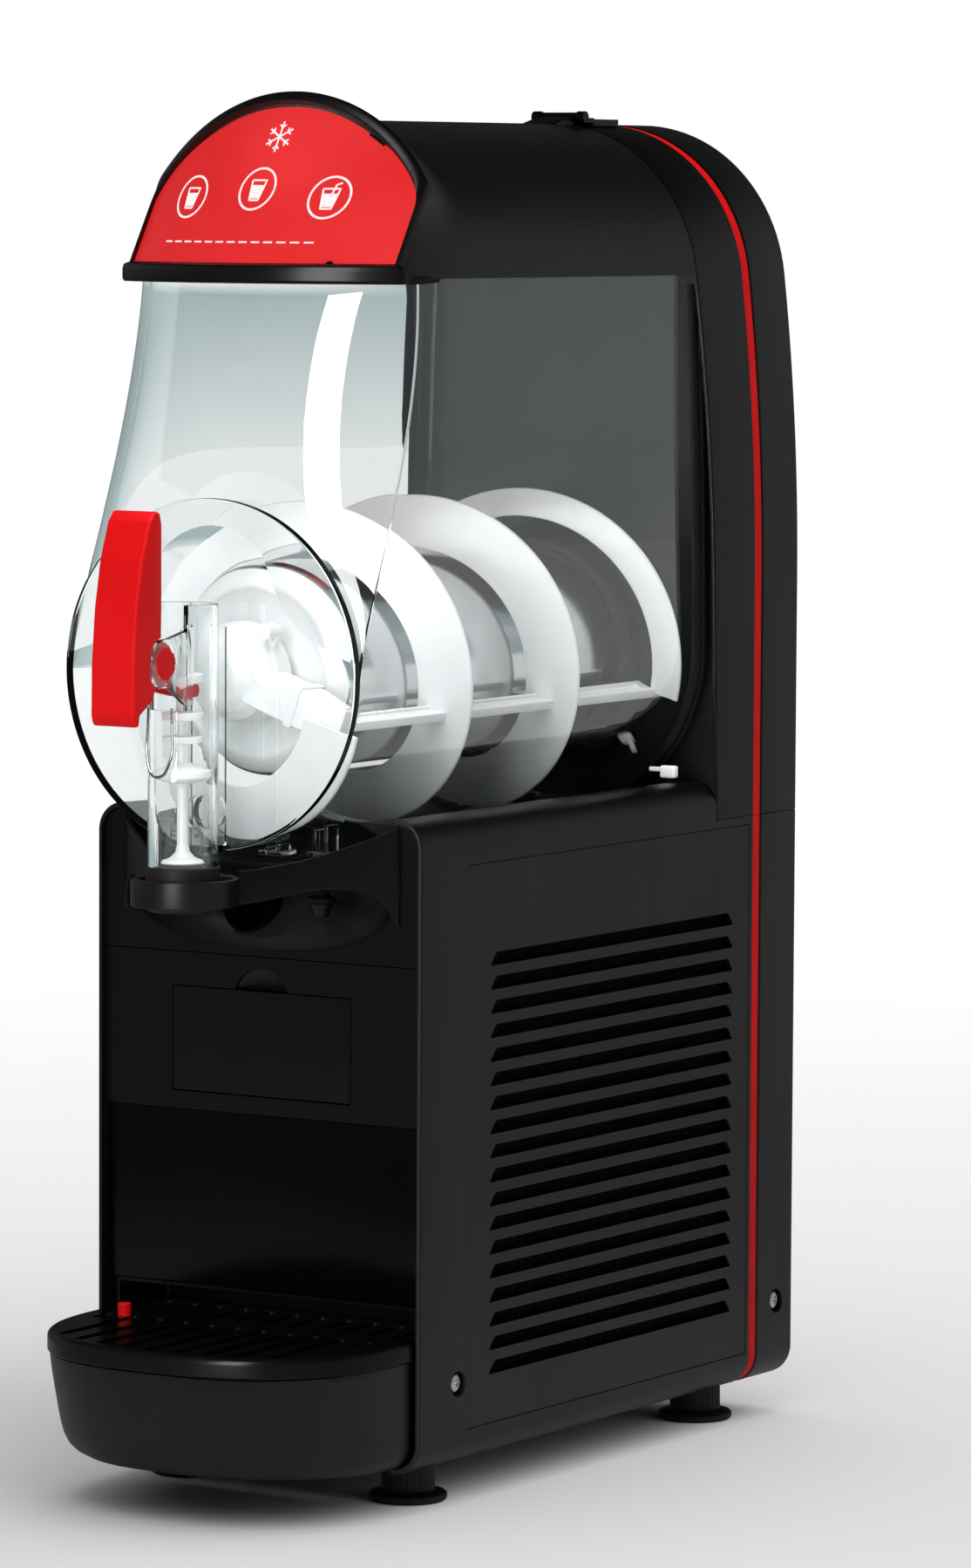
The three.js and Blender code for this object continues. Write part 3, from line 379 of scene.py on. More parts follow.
# ---------------------------------------------------------------- materials
class Shader:
    """A node material with short calls for its nodes."""

    def __init__(self, name):
        self.material = bpy.data.materials.new(name)
        self.material.use_nodes = True
        self.tree = self.material.node_tree
        self.bsdf = self.tree.nodes["Principled BSDF"]
        self.output = self.tree.nodes["Material Output"]
        self.coordinates = self.add("ShaderNodeTexCoord").outputs["Object"]

    def add(self, kind, settings=None, **inputs):
        made = self.tree.nodes.new(kind)
        for key, value in (settings or {}).items():
            setattr(made, key, value)
        for key, value in inputs.items():
            self.set(made, key.replace("_", " "), value)
        return made

    def set(self, made, name, value):
        socket = made.inputs[name]
        if isinstance(value, bpy.types.NodeSocket):
            self.tree.links.new(value, socket)
        else:
            socket.default_value = value

    def surface(self, **inputs):
        for key, value in inputs.items():
            self.set(self.bsdf, key.replace("_", " "), value)

    def noise(self, scale, stretch=(1, 1, 1), detail=3.0):
        mapping = self.add("ShaderNodeMapping", Vector=self.coordinates, Scale=stretch)
        made = self.add("ShaderNodeTexNoise", Vector=mapping.outputs["Vector"], Scale=scale, Detail=detail)
        return made.outputs["Fac"]

    def ranged(self, value, low, high, start=0.3, end=0.7):
        made = self.add("ShaderNodeMapRange")
        self.set(made, "Value", value)
        for name, number in zip(("From Min", "From Max", "To Min", "To Max"), (start, end, low, high)):
            self.set(made, name, number)
        return made.outputs["Result"]

    def blend(self, factor, a, b):
        made = self.add("ShaderNodeMix", {"data_type": "RGBA"})
        self.set(made, "Factor", factor)
        self.tree.links.new(made.inputs["Factor"].links[0].from_socket, made.inputs[0])
        for index, value in ((6, a), (7, b)):
            if isinstance(value, bpy.types.NodeSocket):
                self.tree.links.new(value, made.inputs[index])
            else:
                made.inputs[index].default_value = (*value, 1)
        return made.outputs[2]

    def bump(self, height, distance, strength=1.0):
        made = self.add("ShaderNodeBump", Height=height, Distance=distance, Strength=strength)
        return made.outputs["Normal"]


def tinted(color, share):
    return tuple(min(1.0, c * share) for c in color)


def plastic(name, color, roughness, grain=0.00012, grain_scale=1100, spread=0.06, **more):
    """Moulded plastic: fine grain, faint streaks of handling in its gloss, slight unevenness in colour."""
    shader = Shader(name)
    mottle = shader.noise(9, detail=5)
    streak = shader.noise(26, (1, 1, 0.25), detail=4)
    color_socket = shader.blend(shader.ranged(mottle, 0, 1), tinted(color, 0.86), tinted(color, 1.14))
    shader.surface(
        Base_Color=color_socket,
        Roughness=shader.ranged(streak, roughness - spread, roughness + spread),
        **more,
    )
    if grain:
        shader.surface(Normal=shader.bump(shader.noise(grain_scale, detail=2), grain, 0.35))
    return shader.material


def metal(name, color, roughness, stretch, scale=60, depth=0.00004, spread=0.06):
    """Bare metal with brush marks that run along the axis whose stretch is small."""
    shader = Shader(name)
    brush = shader.noise(scale, stretch, detail=4)
    patch = shader.noise(12, detail=3)
    shader.surface(
        Base_Color=shader.blend(shader.ranged(patch, 0, 1), tinted(color, 0.93), tinted(color, 1.05)),
        Metallic=1.0,
        Roughness=shader.ranged(brush, roughness - spread, roughness + spread),
        Normal=shader.bump(brush, depth, 0.5),
    )
    return shader.material


def clear_plastic():
    """Polycarbonate: a faint tint, moulding ripple, and shadow and diffuse rays that pass through."""
    shader = Shader("clear_polycarbonate")
    ripple = shader.noise(7, detail=2)
    shader.surface(
        Base_Color=(0.955, 0.968, 0.968, 1),
        Roughness=0.0,
        IOR=1.5,
        Transmission_Weight=1.0,
        Normal=shader.bump(ripple, 0.0003, 0.03),
    )
    rays = shader.add("ShaderNodeLightPath")
    soft = shader.add("ShaderNodeMath", {"operation": "MAXIMUM"})
    shader.tree.links.new(rays.outputs["Is Shadow Ray"], soft.inputs[0])
    shader.tree.links.new(rays.outputs["Is Diffuse Ray"], soft.inputs[1])
    through = shader.add("ShaderNodeBsdfTransparent", Color=(0.95, 0.968, 0.968, 1))
    both = shader.add("ShaderNodeMixShader")
    shader.tree.links.new(soft.outputs[0], both.inputs[0])
    shader.tree.links.new(shader.bsdf.outputs["BSDF"], both.inputs[1])
    shader.tree.links.new(through.outputs["BSDF"], both.inputs[2])
    shader.tree.links.new(both.outputs[0], shader.output.inputs["Surface"])
    return shader.material


def glowing_red():
    """The backlit sheet: lamps behind it give soft brighter patches under a satin surface; a painted shade dims
    it towards its left edge.
    """
    shader = Shader("red_glow")
    patches = shader.noise(11, (1, 1, 1.4), detail=1)
    lamps = shader.blend(shader.ranged(patches, 0, 1), (0.74, 0.024, 0.026), (0.82, 0.036, 0.038))
    # painted shade: the sheet's glow fades to a dimmer red towards its left edge
    across = shader.add("ShaderNodeSeparateXYZ", Vector=shader.coordinates).outputs["X"]
    backlight_and_painted_shade = shader.blend(shader.ranged(across, 0, 1, -0.105, 0.0), (0.6, 0.016, 0.018), lamps)
    shader.surface(
        Base_Color=(0.12, 0.004, 0.004, 1),
        Specular_IOR_Level=0.25,
        Roughness=shader.ranged(shader.noise(30), 0.3, 0.45),
        Emission_Color=backlight_and_painted_shade,
        Emission_Strength=1.0,
    )
    return shader.material


def board():
    shader = Shader("circuit_board")
    square = {"distance": "CHEBYCHEV"}
    cells = shader.add("ShaderNodeTexVoronoi", square, Vector=shader.coordinates, Scale=240)
    traces = shader.ranged(cells.outputs["Distance"], 0, 1)
    shader.surface(Base_Color=shader.blend(traces, (0.012, 0.11, 0.03), (0.03, 0.2, 0.06)), Roughness=0.4)
    return shader.material


MATERIAL = {
    "black_plastic": plastic("black_plastic", (0.0065, 0.0065, 0.0068), 0.36, spread=0.04),
    "gloss_black": plastic(
        "gloss_black", (0.002, 0.002, 0.0022), 0.2, grain=0, spread=0.02, Specular_IOR_Level=0.3,
    ),
    "red_plastic": plastic(
        "red_plastic", (0.52, 0.004, 0.005), 0.42, grain=0.00006, Specular_IOR_Level=0.08,
    ),
    "red_glow": glowing_red(),
    "white_plastic": plastic(
        "white_plastic", (0.87, 0.885, 0.89), 0.3, grain=0.00004, spread=0.03,
        Subsurface_Weight=0.15, Subsurface_Scale=0.004,
    ),
    "rubber": plastic("rubber", (0.010, 0.010, 0.0105), 0.6, grain=0.0002, grain_scale=700),
    "stainless": metal("stainless", (0.62, 0.63, 0.64), 0.14, (1, 60, 1), 30, depth=0.000004),
    "steel_wire": metal("steel_wire", (0.78, 0.78, 0.79), 0.12, (1, 1, 1), 300),
    "painted_steel": plastic("painted_steel", (0.0225, 0.023, 0.0245), 0.36, grain=0.0002, grain_scale=500),
    "copper": metal("copper", (0.78, 0.36, 0.2), 0.25, (1, 1, 1), 90),
    "aluminium": metal("aluminium", (0.66, 0.67, 0.68), 0.3, (40, 1, 1), 40),
    "circuit_board": board(),
    "clear_polycarbonate": clear_plastic(),
}
PRINT_WHITE = plastic(
    "print_white", (0.8, 0.72, 0.72), 0.4, grain=0, Emission_Color=(1.0, 0.9, 0.9, 1), Emission_Strength=0.8,
)
HOOD_BLACK = plastic("hood_black", (0.0045, 0.0045, 0.0047), 0.3, grain=0.00008, spread=0.03)
RIM_BLACK = plastic(
    "rim_black", (0.0025, 0.0025, 0.0026), 0.24, grain=0.00005, spread=0.03, Specular_IOR_Level=0.18,
)
# Near-black matte that paints shade: on the pleated pads behind the vent slots and in the pocket behind the
# scoop's opening.
PAINTED_SHADE_BLACK = plastic("socket_black", (0.002, 0.002, 0.002), 0.85, grain=0.0002, Specular_IOR_Level=0.08)

LIT = {}  # material slot: the pieces in it, for the lamps


def dress(obj, name, nodes, slot=None, bevel=0.0, angle=35.0, material=None):
    """Names a finished piece, shades it, gives it its material and puts it on its CAD node's body."""
    obj.name = name
    nodes = [nodes] if isinstance(nodes, str) else nodes
    slot = slot or SLOT_OF[nodes[0]]
    obj.data.materials.clear()
    obj.data.materials.append(material or MATERIAL[slot])
    for face in obj.data.polygons:
        face.material_index = 0
    obj.data.shade_smooth()
    if bevel:
        round_edges(obj, bevel, angle)
    else:
        obj.data.set_sharp_from_angle(angle=math.radians(angle))
    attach(obj, BODY_OF[nodes[0]])
    LIT.setdefault(slot, []).append(obj)
    return obj


def stand_for(obj, name, nodes, slot=None, **more):
    """Dresses a piece that takes the place of CAD nodes."""
    nodes = [nodes] if isinstance(nodes, str) else nodes
    dress(obj, name, nodes, slot, **more)
    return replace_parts(obj, *nodes)


def pair(right, name, node, dressed=stand_for, **more):
    """Dresses a piece of the right side and its mirror image."""
    left = mirrored(right)
    dressed(right, f"{name}_right", f"{node}_right", **more)
    dressed(left, f"{name}_left", f"{node}_left", **more)


def round_edges(obj, width, angle):
    modifier = obj.modifiers.new("edges", "BEVEL")
    modifier.width = width * MM
    modifier.segments = 2
    modifier.limit_method = "ANGLE"
    modifier.angle_limit = math.radians(angle)
    modifier.harden_normals = True
    weighted = obj.modifiers.new("shading", "WEIGHTED_NORMAL")
    weighted.keep_sharp = True


# ---------------------------------------------------------------- driving shapes, as in the CAD source
HALF_WIDTH = 121.0
BACK_Y = span("rear_cover_upper")[1][1]
AXIS_Z = sum(span("drive_shaft")[2]) / 2
CABINET = {"bottom": 24.0, "top": 428.0, "bottom_radius": 20.0, "top_radius": 18.0}
SEAM_Z = 402.6
TRIM_Y = span("upper_trim")[1]
ARCH = {"radius": 110.0, "centre": 743.0, "join": 6.8, "flare_z": 560.0, "flare": 0.000306}
VISOR = {"radius": 118.0, "centre": 752.0, "plan": 176.0, "front": -28.0, "base": 765.0, "lean": 0.62}
HOOD_STRAIGHT_Y = 80.0
HOOD_BACK = 339.6
BOWL_RADIUS = 107.5
BOWL_TOP = 760.0
BOWL_TOP_HALF = 101.5
TOWER_Y = -80.0
PIVOT = {"y": -122.0, "z": 526.0}


def half_width(z, depth=0.0):
    """The body's half width at a height, depth inside its skin."""
    return HALF_WIDTH - ARCH["flare"] * max(0.0, z - ARCH["flare_z"]) ** 2 - depth


def arch_line(bottom, depth, count=48):
    """The arch as (x, z) from the right foot over the top to the left foot."""
    heights = [bottom, *range(560, 750, 15)]
    side = [(half_width(z, depth), z) for z in heights]
    join = ARCH["join"]
    over = arc(0, ARCH["centre"], ARCH["radius"] - depth, join, 180 - join, count)
    return side + over + [(-x, z) for x, z in reversed(side)]


def bowed_y(x):
    return VISOR["plan"] - math.sqrt(VISOR["plan"] ** 2 - x * x)


def visor_y(x, z):
    return VISOR["front"] + bowed_y(x) + (z - VISOR["base"]) * VISOR["lean"]


def round_ends(y0, y1, radius, at_y0=True, at_y1=False, count=4):
    """(y, depth) pairs that carry a skin from y0 to y1 with rounded front or back edges."""
    pairs = []
    angles = [t * math.pi / 2 for t in steps(count)]
    if at_y0:
        pairs += [(y0 + radius * (1 - math.cos(a)), radius * (1 - math.sin(a))) for a in angles]
    else:
        pairs.append((y0, 0.0))
    if at_y1:
        pairs += [(y1 - radius * (1 - math.cos(a)), radius * (1 - math.sin(a))) for a in reversed(angles)]
    else:
        pairs.append((y1, 0.0))
    return pairs


# ---------------------------------------------------------------- cabinet
SIDE_WALL = 3.0
SIDE_EDGE = 1.6


def side_profile(depth):
    """The right side's C outline, from the bottom flange round to the top flange."""
    x = HALF_WIDTH
    rb, rt = CABINET["bottom_radius"], CABINET["top_radius"]
    z0, z1 = CABINET["bottom"], CABINET["top"]
    line = [(100.0, z0 + depth)]
    line += arc(x - rb, z0 + rb, rb - depth, -90, 0, 12)
    line += arc(x - rt, z1 - rt, rt - depth, 0, 90, 12)
    return line + [(101.5, z1 - depth)]


SCREW = {"front": 44.2, "rear": 433.8, "z": 76.3, "cup": 7.6}


def screw_cup(y, skin=HALF_WIDTH):
    """A tool that sinks a lipped cup into a side wall, and the boss that it is sunk into."""
    at = (0, y, SCREW["z"])
    r = SCREW["cup"]
    boss = rod("x", r + 1.2, 114.2, skin - 1, at)
    line = [(0, -4.6), (r - 0.6, -4.6), (r, -4.2), (r, -0.7), (r + 0.9, 0.1), (r + 0.9, 5), (0, 5)]
    return boss, lathe("x", [(radius, skin + x) for radius, x in line], at, 40)


def side_shell():
    ends = round_ends(0.0, TRIM_Y[0] - 0.4, SIDE_EDGE)
    outer = [[(x, y, z) for x, z in side_profile(d)] for y, d in ends]
    inner = [[(x, y, z) for x, z in side_profile(SIDE_WALL)] for y, _ in ends]
    (_, _), (wy0, wy1), (wz0, wz1) = span("vent_panel_right")
    window = prism("yz", rounded_rectangle(wy0 - 0.3, wy1 + 0.3, wz0 - 0.3, wz1 + 0.3, 1.5), 108, 130)
    foot_gap = block(90, 130, 351, 400, SEAM_Z - 0.4, 440)
    boss, cup = screw_cup(SCREW["front"])
    shaft = rod("x", 2.8, 100, 125, (0, SCREW["front"], SCREW["z"]))
    return cut(fuse(shell(outer, inner), boss), window, foot_gap, cup, shaft)


VENT = {"first": 77.0, "pitch": 15.02, "count": 18, "y0": 79.0, "y1": 373.5, "height": 8.2}


def vent_plate():
    (_, _), (y0, y1), (z0, z1) = span("vent_panel_right")
    plate = prism("yz", rounded_rectangle(y0, y1, z0, z1, 1.2), 118.3, 120.8, 0, 0.5)
    h = VENT["height"]
    mouth = [(VENT["y0"], 0), (VENT["y1"], 0), (VENT["y1"] - 6.0, h), (VENT["y0"] + 6.5, h)]
    mouth = fillet(mouth, [0.8, 0.8, 4.2, 4.2], 6)
    slots = []
    for i in range(VENT["count"]):
        z = VENT["first"] + i * VENT["pitch"]
        slots.append(prism("yz", [(y, z + dz) for y, dz in mouth], 110, 125))
    return cut(plate, gather(*slots))


pair(side_shell(), "side_shell", "cabinet_side")
pair(vent_plate(), "vent_plate", "vent_panel", bevel=0.3, angle=50)


def pleated_shade_pad():
    """A pleated pad behind the slots, in near-black matte that paints the shade inside the vents."""
    (_, _), (y0, y1), (z0, z1) = span("vent_panel_right")
    folds, margin, sheet = 64, 2, 0.8
    valley, ridge = 114.8, 116.0
    line = [(mix(y0 + margin, y1 - margin, i / folds), ridge if i % 2 else valley) for i in range(folds + 1)]
    outer = [[(x, y, z) for y, x in line] for z in (z0 + margin, z1 - margin)]
    inner = [[(x - sheet, y, z) for y, x in line] for z in (z0 + margin, z1 - margin)]
    return shell(outer, inner)


# painted shade: the pads behind the vent slots are near-black matte
pair(pleated_shade_pad(), "filter", "vent_panel", dress, material=PAINTED_SHADE_BLACK, angle=20)


def side_screw(y):
    """A pan head screw with a cross drive, and the shank behind it."""
    at = (0, y, SCREW["z"])
    skin = HALF_WIDTH - 4.2
    dome = [(0, 0), (5.6, 0), (5.9, 1.0), (5.2, 2.2), (3.4, 3.0), (0, 3.4)]
    head = lathe("x", [(radius, skin + x) for radius, x in dome], at, 40)
    z = SCREW["z"]
    wide = prism("yz", rounded_rectangle(y - 3.0, y + 3.0, z - 0.65, z + 0.65, 0.4), skin + 1.4, skin + 6)
    tall = prism("yz", rounded_rectangle(y - 0.65, y + 0.65, z - 3.0, z + 3.0, 0.4), skin + 1.4, skin + 6)
    return fuse(cut(head, wide, tall), rod("x", 2.4, skin - 3, skin + 0.5, at))


for end in ("front", "rear"):
    screw = side_screw(SCREW[end])
    stand_for(mirrored(screw), f"screw_{end}_left", f"side_screw_{end}_left", angle=30)
    stand_for(screw, f"screw_{end}_right", f"side_screw_{end}_right", angle=30)


def foot(x, y):
    """A levelling foot: a soft sole with a rounded rim and a ribbed neck."""
    profile = [
        (0, 0), (22.6, 0), (24.3, 1.6), (24.3, 4.4), (22.8, 5.6), (17.2, 7.2), (16.7, 9.0), (16.5, 26.4),
        (4.2, 26.4), (4.2, 36.0), (0, 36.0),
    ]
    sole = lathe("z", profile, (x, y, 0), 72, 0.5)
    ribs = []
    for i in range(24):
        a = 2 * math.pi * i / 24
        ribs.append(rod("z", 0.7, 9.5, 24, (x + 16.9 * math.cos(a), y + 16.9 * math.sin(a), 0), 0, 8))
    return cut(sole, gather(*ribs))


for name in ("front_left", "front_right", "rear_left", "rear_right"):
    (x0, x1), (y0, y1), _ = span(f"foot_{name}")
    stand_for(foot((x0 + x1) / 2, (y0 + y1) / 2), f"levelling_{name}", f"foot_{name}", angle=30)


# ---------------------------------------------------------------- front panels
RECESS = {"x": -16.5, "z": 367.5, "radius": 16.0, "roof": 376.0}
NICHE = {"x": 104.0, "z": 46.0, "depth": 27.0, "centre": 387.0, "power": 2.4}


def niche_depth(x, z):
    """How far the scoop under the collector reaches behind the front skin."""
    r = ((abs(x) / NICHE["x"]) ** NICHE["power"] + (abs(z - NICHE["centre"]) / NICHE["z"]) ** NICHE["power"])
    r = r ** (1 / NICHE["power"])
    if r >= 1:
        return 0.0
    below = smooth((NICHE["centre"] - z) / NICHE["z"] + 0.2)
    return NICHE["depth"] * mix(math.sqrt(1 - r * r) * smooth((1 - r) / 0.10), (1 - r * r) ** 1.15, below)


def fascia():
    """The upper front, one skin that runs into the scoop; its thickness follows the scoop."""
    columns, rows = 150, 72
    corner_x, corner_z, corner_r = 103.0, 410.0, 14.6
    front, back = [], []
    for v in steps(rows):
        z = mix(337.2, 424.4, v)
        over = max(0.0, z - corner_z)
        limit = 117.6 if over <= 0 else corner_x + math.sqrt(max(0.0, corner_r ** 2 - over * over))
        row = [(mix(-limit, limit, u), z) for u in steps(columns)]
        front.append([(x, FRONT_SKIN + niche_depth(x, zz), zz) for x, zz in row])
        back.append([(x, FRONT_SKIN + 3.2 + niche_depth(x, zz), zz) for x, zz in row])
    x, z = RECESS["x"], RECESS["z"]
    hole = rod("y", RECESS["radius"], -20, 80, (x, 0, z), 0, 72)
    hole = cut(hole, block(x - 30, x + 30, -30, 90, RECESS["roof"], z + 40))
    return cut(shell(front, back), hole)


def recess_cup():
    """The pocket behind the half round opening in the scoop; its near-black matte paints the shade inside the
    opening.
    """
    r = RECESS["radius"] + 0.9
    profile = [(r - 1.6, 10), (r, 10), (r, 46), (0, 46), (0, 44.5), (r - 1.6, 44.5)]
    return lathe("y", profile, (RECESS["x"], 0, RECESS["z"]), 72)


stand_for(fascia(), "upper_fascia", "front_fascia", angle=40)
# painted shade: the pocket behind the scoop's opening is near-black matte
dress(recess_cup(), "scoop_pocket", "front_fascia", material=PAINTED_SHADE_BLACK)
nozzle_line = [
    (0, 362.6), (4.8, 363.4), (7.2, 371.6), (9.6, 372.8), (9.6, 375.4), (5.2, 377), (5, 384), (0, 384),
]
stand_for(lathe("z", nozzle_line, (38, 14, 0), 56, 0.9), "drip_nozzle", "drain_nozzle", angle=40)

FLAP = {"half": 66.4, "bottom": 250.2, "top": 315.2}
FINGER_Z = 308.6


def front_panel():
    (x0, x1), _, (z0, z1) = span("middle_panel")
    plate = prism("xz", rounded_rectangle(x0, x1, z0, z1, 0.8), FRONT_SKIN, FRONT_SKIN + 3.5, 0.5)
    half, low, high = FLAP["half"] + 0.6, FLAP["bottom"] - 0.7, FLAP["top"] + 0.6
    door = prism("xz", rounded_rectangle(-half, half, low, high, 1.2), 0, 20)
    notch = [(0, -4), (23.4, -4), (20.8, FRONT_SKIN + 1.5), (20.0, 20), (0, 20)]
    finger = lathe("y", notch, (0, 0, FINGER_Z), 96)
    finger = cut(finger, block(-40, 40, -10, 30, 270, high - 0.2))
    return cut(plate, door, finger)


def finger_dish():
    """The shallow bowl behind the notch above the flap."""
    profile = [(21.6, 6.4), (21.6, 7.4), (18, 9.6), (12, 11.4), (0, 12.4), (0, 11.4), (12, 10.4), (18, 8.6)]
    dish = lathe("y", profile, (0, 0, FINGER_Z), 96)
    return cut(dish, block(-40, 40, -10, 30, 270, FLAP["top"] + 1.6))


stand_for(front_panel(), "front_panel", "middle_panel", bevel=0.3, angle=50)
dress(finger_dish(), "finger_dish", "middle_panel")


def flap_leaf():
    leaf = prism(
        "xz", rounded_rectangle(-FLAP["half"], FLAP["half"], FLAP["bottom"], FLAP["top"], 1.0),
        FRONT_SKIN, FRONT_SKIN + 3.0, 0.5, 0.3,
    )
    (x0, x1), _, _ = span("control_flap")
    at = (0, *joint_at("flap_open"))
    barrel = rod("x", 2.2, -FLAP["half"], FLAP["half"], at, 0.2, 32)
    pins = rod("x", 1.4, x0, x1, at, 0.2, 24)
    ribs = [block(x - 0.8, x + 0.8, 6.5, 9.2, 258, 311, 0.3) for x in (-44, -22, 0, 22, 44)]
    return fuse(leaf, barrel, pins, *ribs)


stand_for(flap_leaf(), "flap_leaf", "control_flap", angle=35)
(px0, px1), (py0, py1), (pz0, pz1) = span("splash_panel")
gloss = prism("xz", rounded_rectangle(px0, px1, pz0, pz1, 0.6), py0, py1, 0.3, 0)
stand_for(gloss, "gloss_panel", "splash_panel", angle=40)


# ---------------------------------------------------------------- drip collector, guard and cap
GUARD_Y = -78.0
COLLECTOR_WALL = 3.0
UPPER_EDGE = [
    (-80, 394.6), (-57, 396.6), (-47.7, 398.9), (-37.8, 402.3),
    (-29.3, 406.2), (-20.6, 410.6), (-11.4, 415.6), (3.4, 422.8),
]
LOWER_EDGE = [
    (-80, 371.0), (-57, 375.7), (-47.7, 378.7), (-39.7, 381.8), (-32.9, 384.1), (-25.9, 385.6),
    (-18.7, 385.6), (-11.4, 383.2), (-5.3, 377.0), (-1.3, 369.5), (3.4, 360.6),
]


def eased(x, points):
    """A smooth line through points at x."""
    line = spline([(a, b, 0) for a, b in points], 12)
    return piecewise(x, [(p.x, p.y) for p in line])


def collector_edge(t, depth=0.0):
    """The collector's right wall in plan, from the cabinet (0) to the outlet guard (1)."""
    return mix(102.6, 25.5, t) - depth, mix(3.0, -57.0, t ** 0.82) + depth * 0.6


def collector():
    count = 96
    outer, inner = [], []
    for t in steps(count):
        t0, t1 = max(0.0, t - 0.01), min(1.0, t + 0.01)
        a, b = Vector(collector_edge(t0)), Vector(collector_edge(t1))
        along = (b - a).normalized()
        normal = Vector((-along.y, along.x))
        if normal.x < 0:
            normal = -normal
        p = Vector(collector_edge(t))
        high, low = eased(p.y, UPPER_EDGE), eased(p.y, LOWER_EDGE)
        line = rounded_rectangle(0, COLLECTOR_WALL, low, high, 1.1, 4)
        outer.append([(p.x - normal.x * d, p.y - normal.y * d, z) for d, z in line])
    wing = loft(outer)
    plan = mirror_line([collector_edge(t, 1.5) for t in steps(40)])
    base = prism("xy", plan, 384.6, 388.0)
    behind_skin = prism("xy", rectangle(-119.99, 119.99, 3.21, 59.99), 370, 400)
    around = rod("z", 33.4, 300, 500, (0, GUARD_Y, 0), 0, 96)
    return cut(fuse(wing, mirrored(wing), base), around, behind_skin)


stand_for(collector(), "collector", "drip_collector", angle=35)
ring = lathe("z", [(29.6, 376), (33, 376), (33, 392.8), (29.6, 392.8)], (0, GUARD_Y, 0), 128, 1.0)
clips = [block(x0, x0 + 4, -60, -52, 376.6, 392.2, 0.8) for x0 in (22, -26)]
stand_for(gather(ring, *clips), "guard_ring", "outlet_guard", angle=40)
cap = lathe(
    "z",
    [(17.4, 374), (20, 372.6), (22.7, 374.4), (22.7, 400), (21.7, 400), (21.7, 384.5), (17.4, 384.5)],
    (0, TOWER_Y, 0), 96, 0.5,
)
stand_for(cap, "outlet_ring", "outlet_cap", angle=40)


# ---------------------------------------------------------------- column, stripes and rear covers
def column():
    def front_y(z, depth):
        return mix(352.0, 340.4, clamp01((z - SEAM_Z) / (757 - SEAM_Z))) + depth

    edge = 1.4
    outer, inner = [], []
    for s, (_, depth) in zip(range(5), round_ends(0, 10, edge)):
        lift = edge * (1 - math.cos(s / 4 * math.pi / 2))
        outer.append([(x, front_y(z, lift), z) for x, z in arch_line(SEAM_Z, depth)])
        inner.append([(x, front_y(z, lift), z) for x, z in arch_line(SEAM_Z, 2.8)])
    outer.append([(x, TRIM_Y[0] - 0.4, z) for x, z in arch_line(SEAM_Z, 0)])
    inner.append([(x, TRIM_Y[0] - 0.4, z) for x, z in arch_line(SEAM_Z, 2.8)])
    return shell(outer, inner)


stand_for(column(), "column", "column_shell", angle=40)


def stripe_upper():
    y0, y1 = TRIM_Y
    ends = round_ends(y0, y1, 0.6, True, True, 3)
    outer = [[(x, y, z) for x, z in arch_line(SEAM_Z, 0.5 + d)] for y, d in ends]
    inner = [[(x, y, z) for x, z in arch_line(SEAM_Z, 2.8)] for y, _ in ends]
    return shell(outer, inner)


def stripe_lower():
    def line(depth):
        rb = CABINET["bottom_radius"]
        x, z = HALF_WIDTH - 0.5, CABINET["bottom"] + 0.5
        points = [(100.0, z + depth)] + arc(x - rb, z + rb, rb - depth, -90, 0, 12)
        return points + [(x - depth, SEAM_Z - 0.4)]

    ends = round_ends(*TRIM_Y, 0.6, True, True, 3)
    outer = [[(x, y, z) for x, z in line(d)] for y, d in ends]
    inner = [[(x, y, z) for x, z in line(2.2)] for y, _ in ends]
    return shell(outer, inner)


stand_for(stripe_upper(), "stripe_upper", "upper_trim", angle=40)
right = stripe_lower()
stand_for(mirrored(right), "stripe_lower_left", "lower_trim_left", angle=40)
stand_for(right, "stripe_lower_right", "lower_trim_right", angle=40)

REAR_ROUND = 4.0


def rear_solid(line, y0, y1, radius):
    """A closed block behind the stripe with its back edges rounded; line gives its outline by depth."""
    pairs = round_ends(y0, y0 + 2, 0.9, True, False, 3) + round_ends(y0 + 3, y1, radius, False, True, 6)
    return loft([[(x, y, z) for x, z in line(depth)] for y, depth in pairs])


def rear_slots(half, first, pitch, height, radius, count):
    """A tool that cuts a stack of slots in the rear covers."""
    slots = []
    for i in range(count):
        z = first + pitch * i
        slots.append(prism("xz", rounded_rectangle(-half, half, z, z + height, radius), 440, 470))
    return gather(*slots)


def rear_upper():
    y0 = TRIM_Y[1] + 0.6
    outer = rear_solid(lambda d: arch_line(SEAM_Z, d), y0, BACK_Y, REAR_ROUND)
    inner = prism("xz", arch_line(SEAM_Z - 20, 3.0), y0 - 10, BACK_Y - 3.0)
    return cut(outer, inner, rear_slots(60, 560, 16, 8, 3.9, 6))


def lower_line(depth, cut_depth=0.0):
    rb = CABINET["bottom_radius"]
    x, z = HALF_WIDTH - depth, CABINET["bottom"] + depth
    corner = arc(x - (rb - depth), z + rb - depth, rb - depth, -90, 0, 12)
    return mirror_line(corner + [(x, SEAM_Z - 0.5 + cut_depth)])


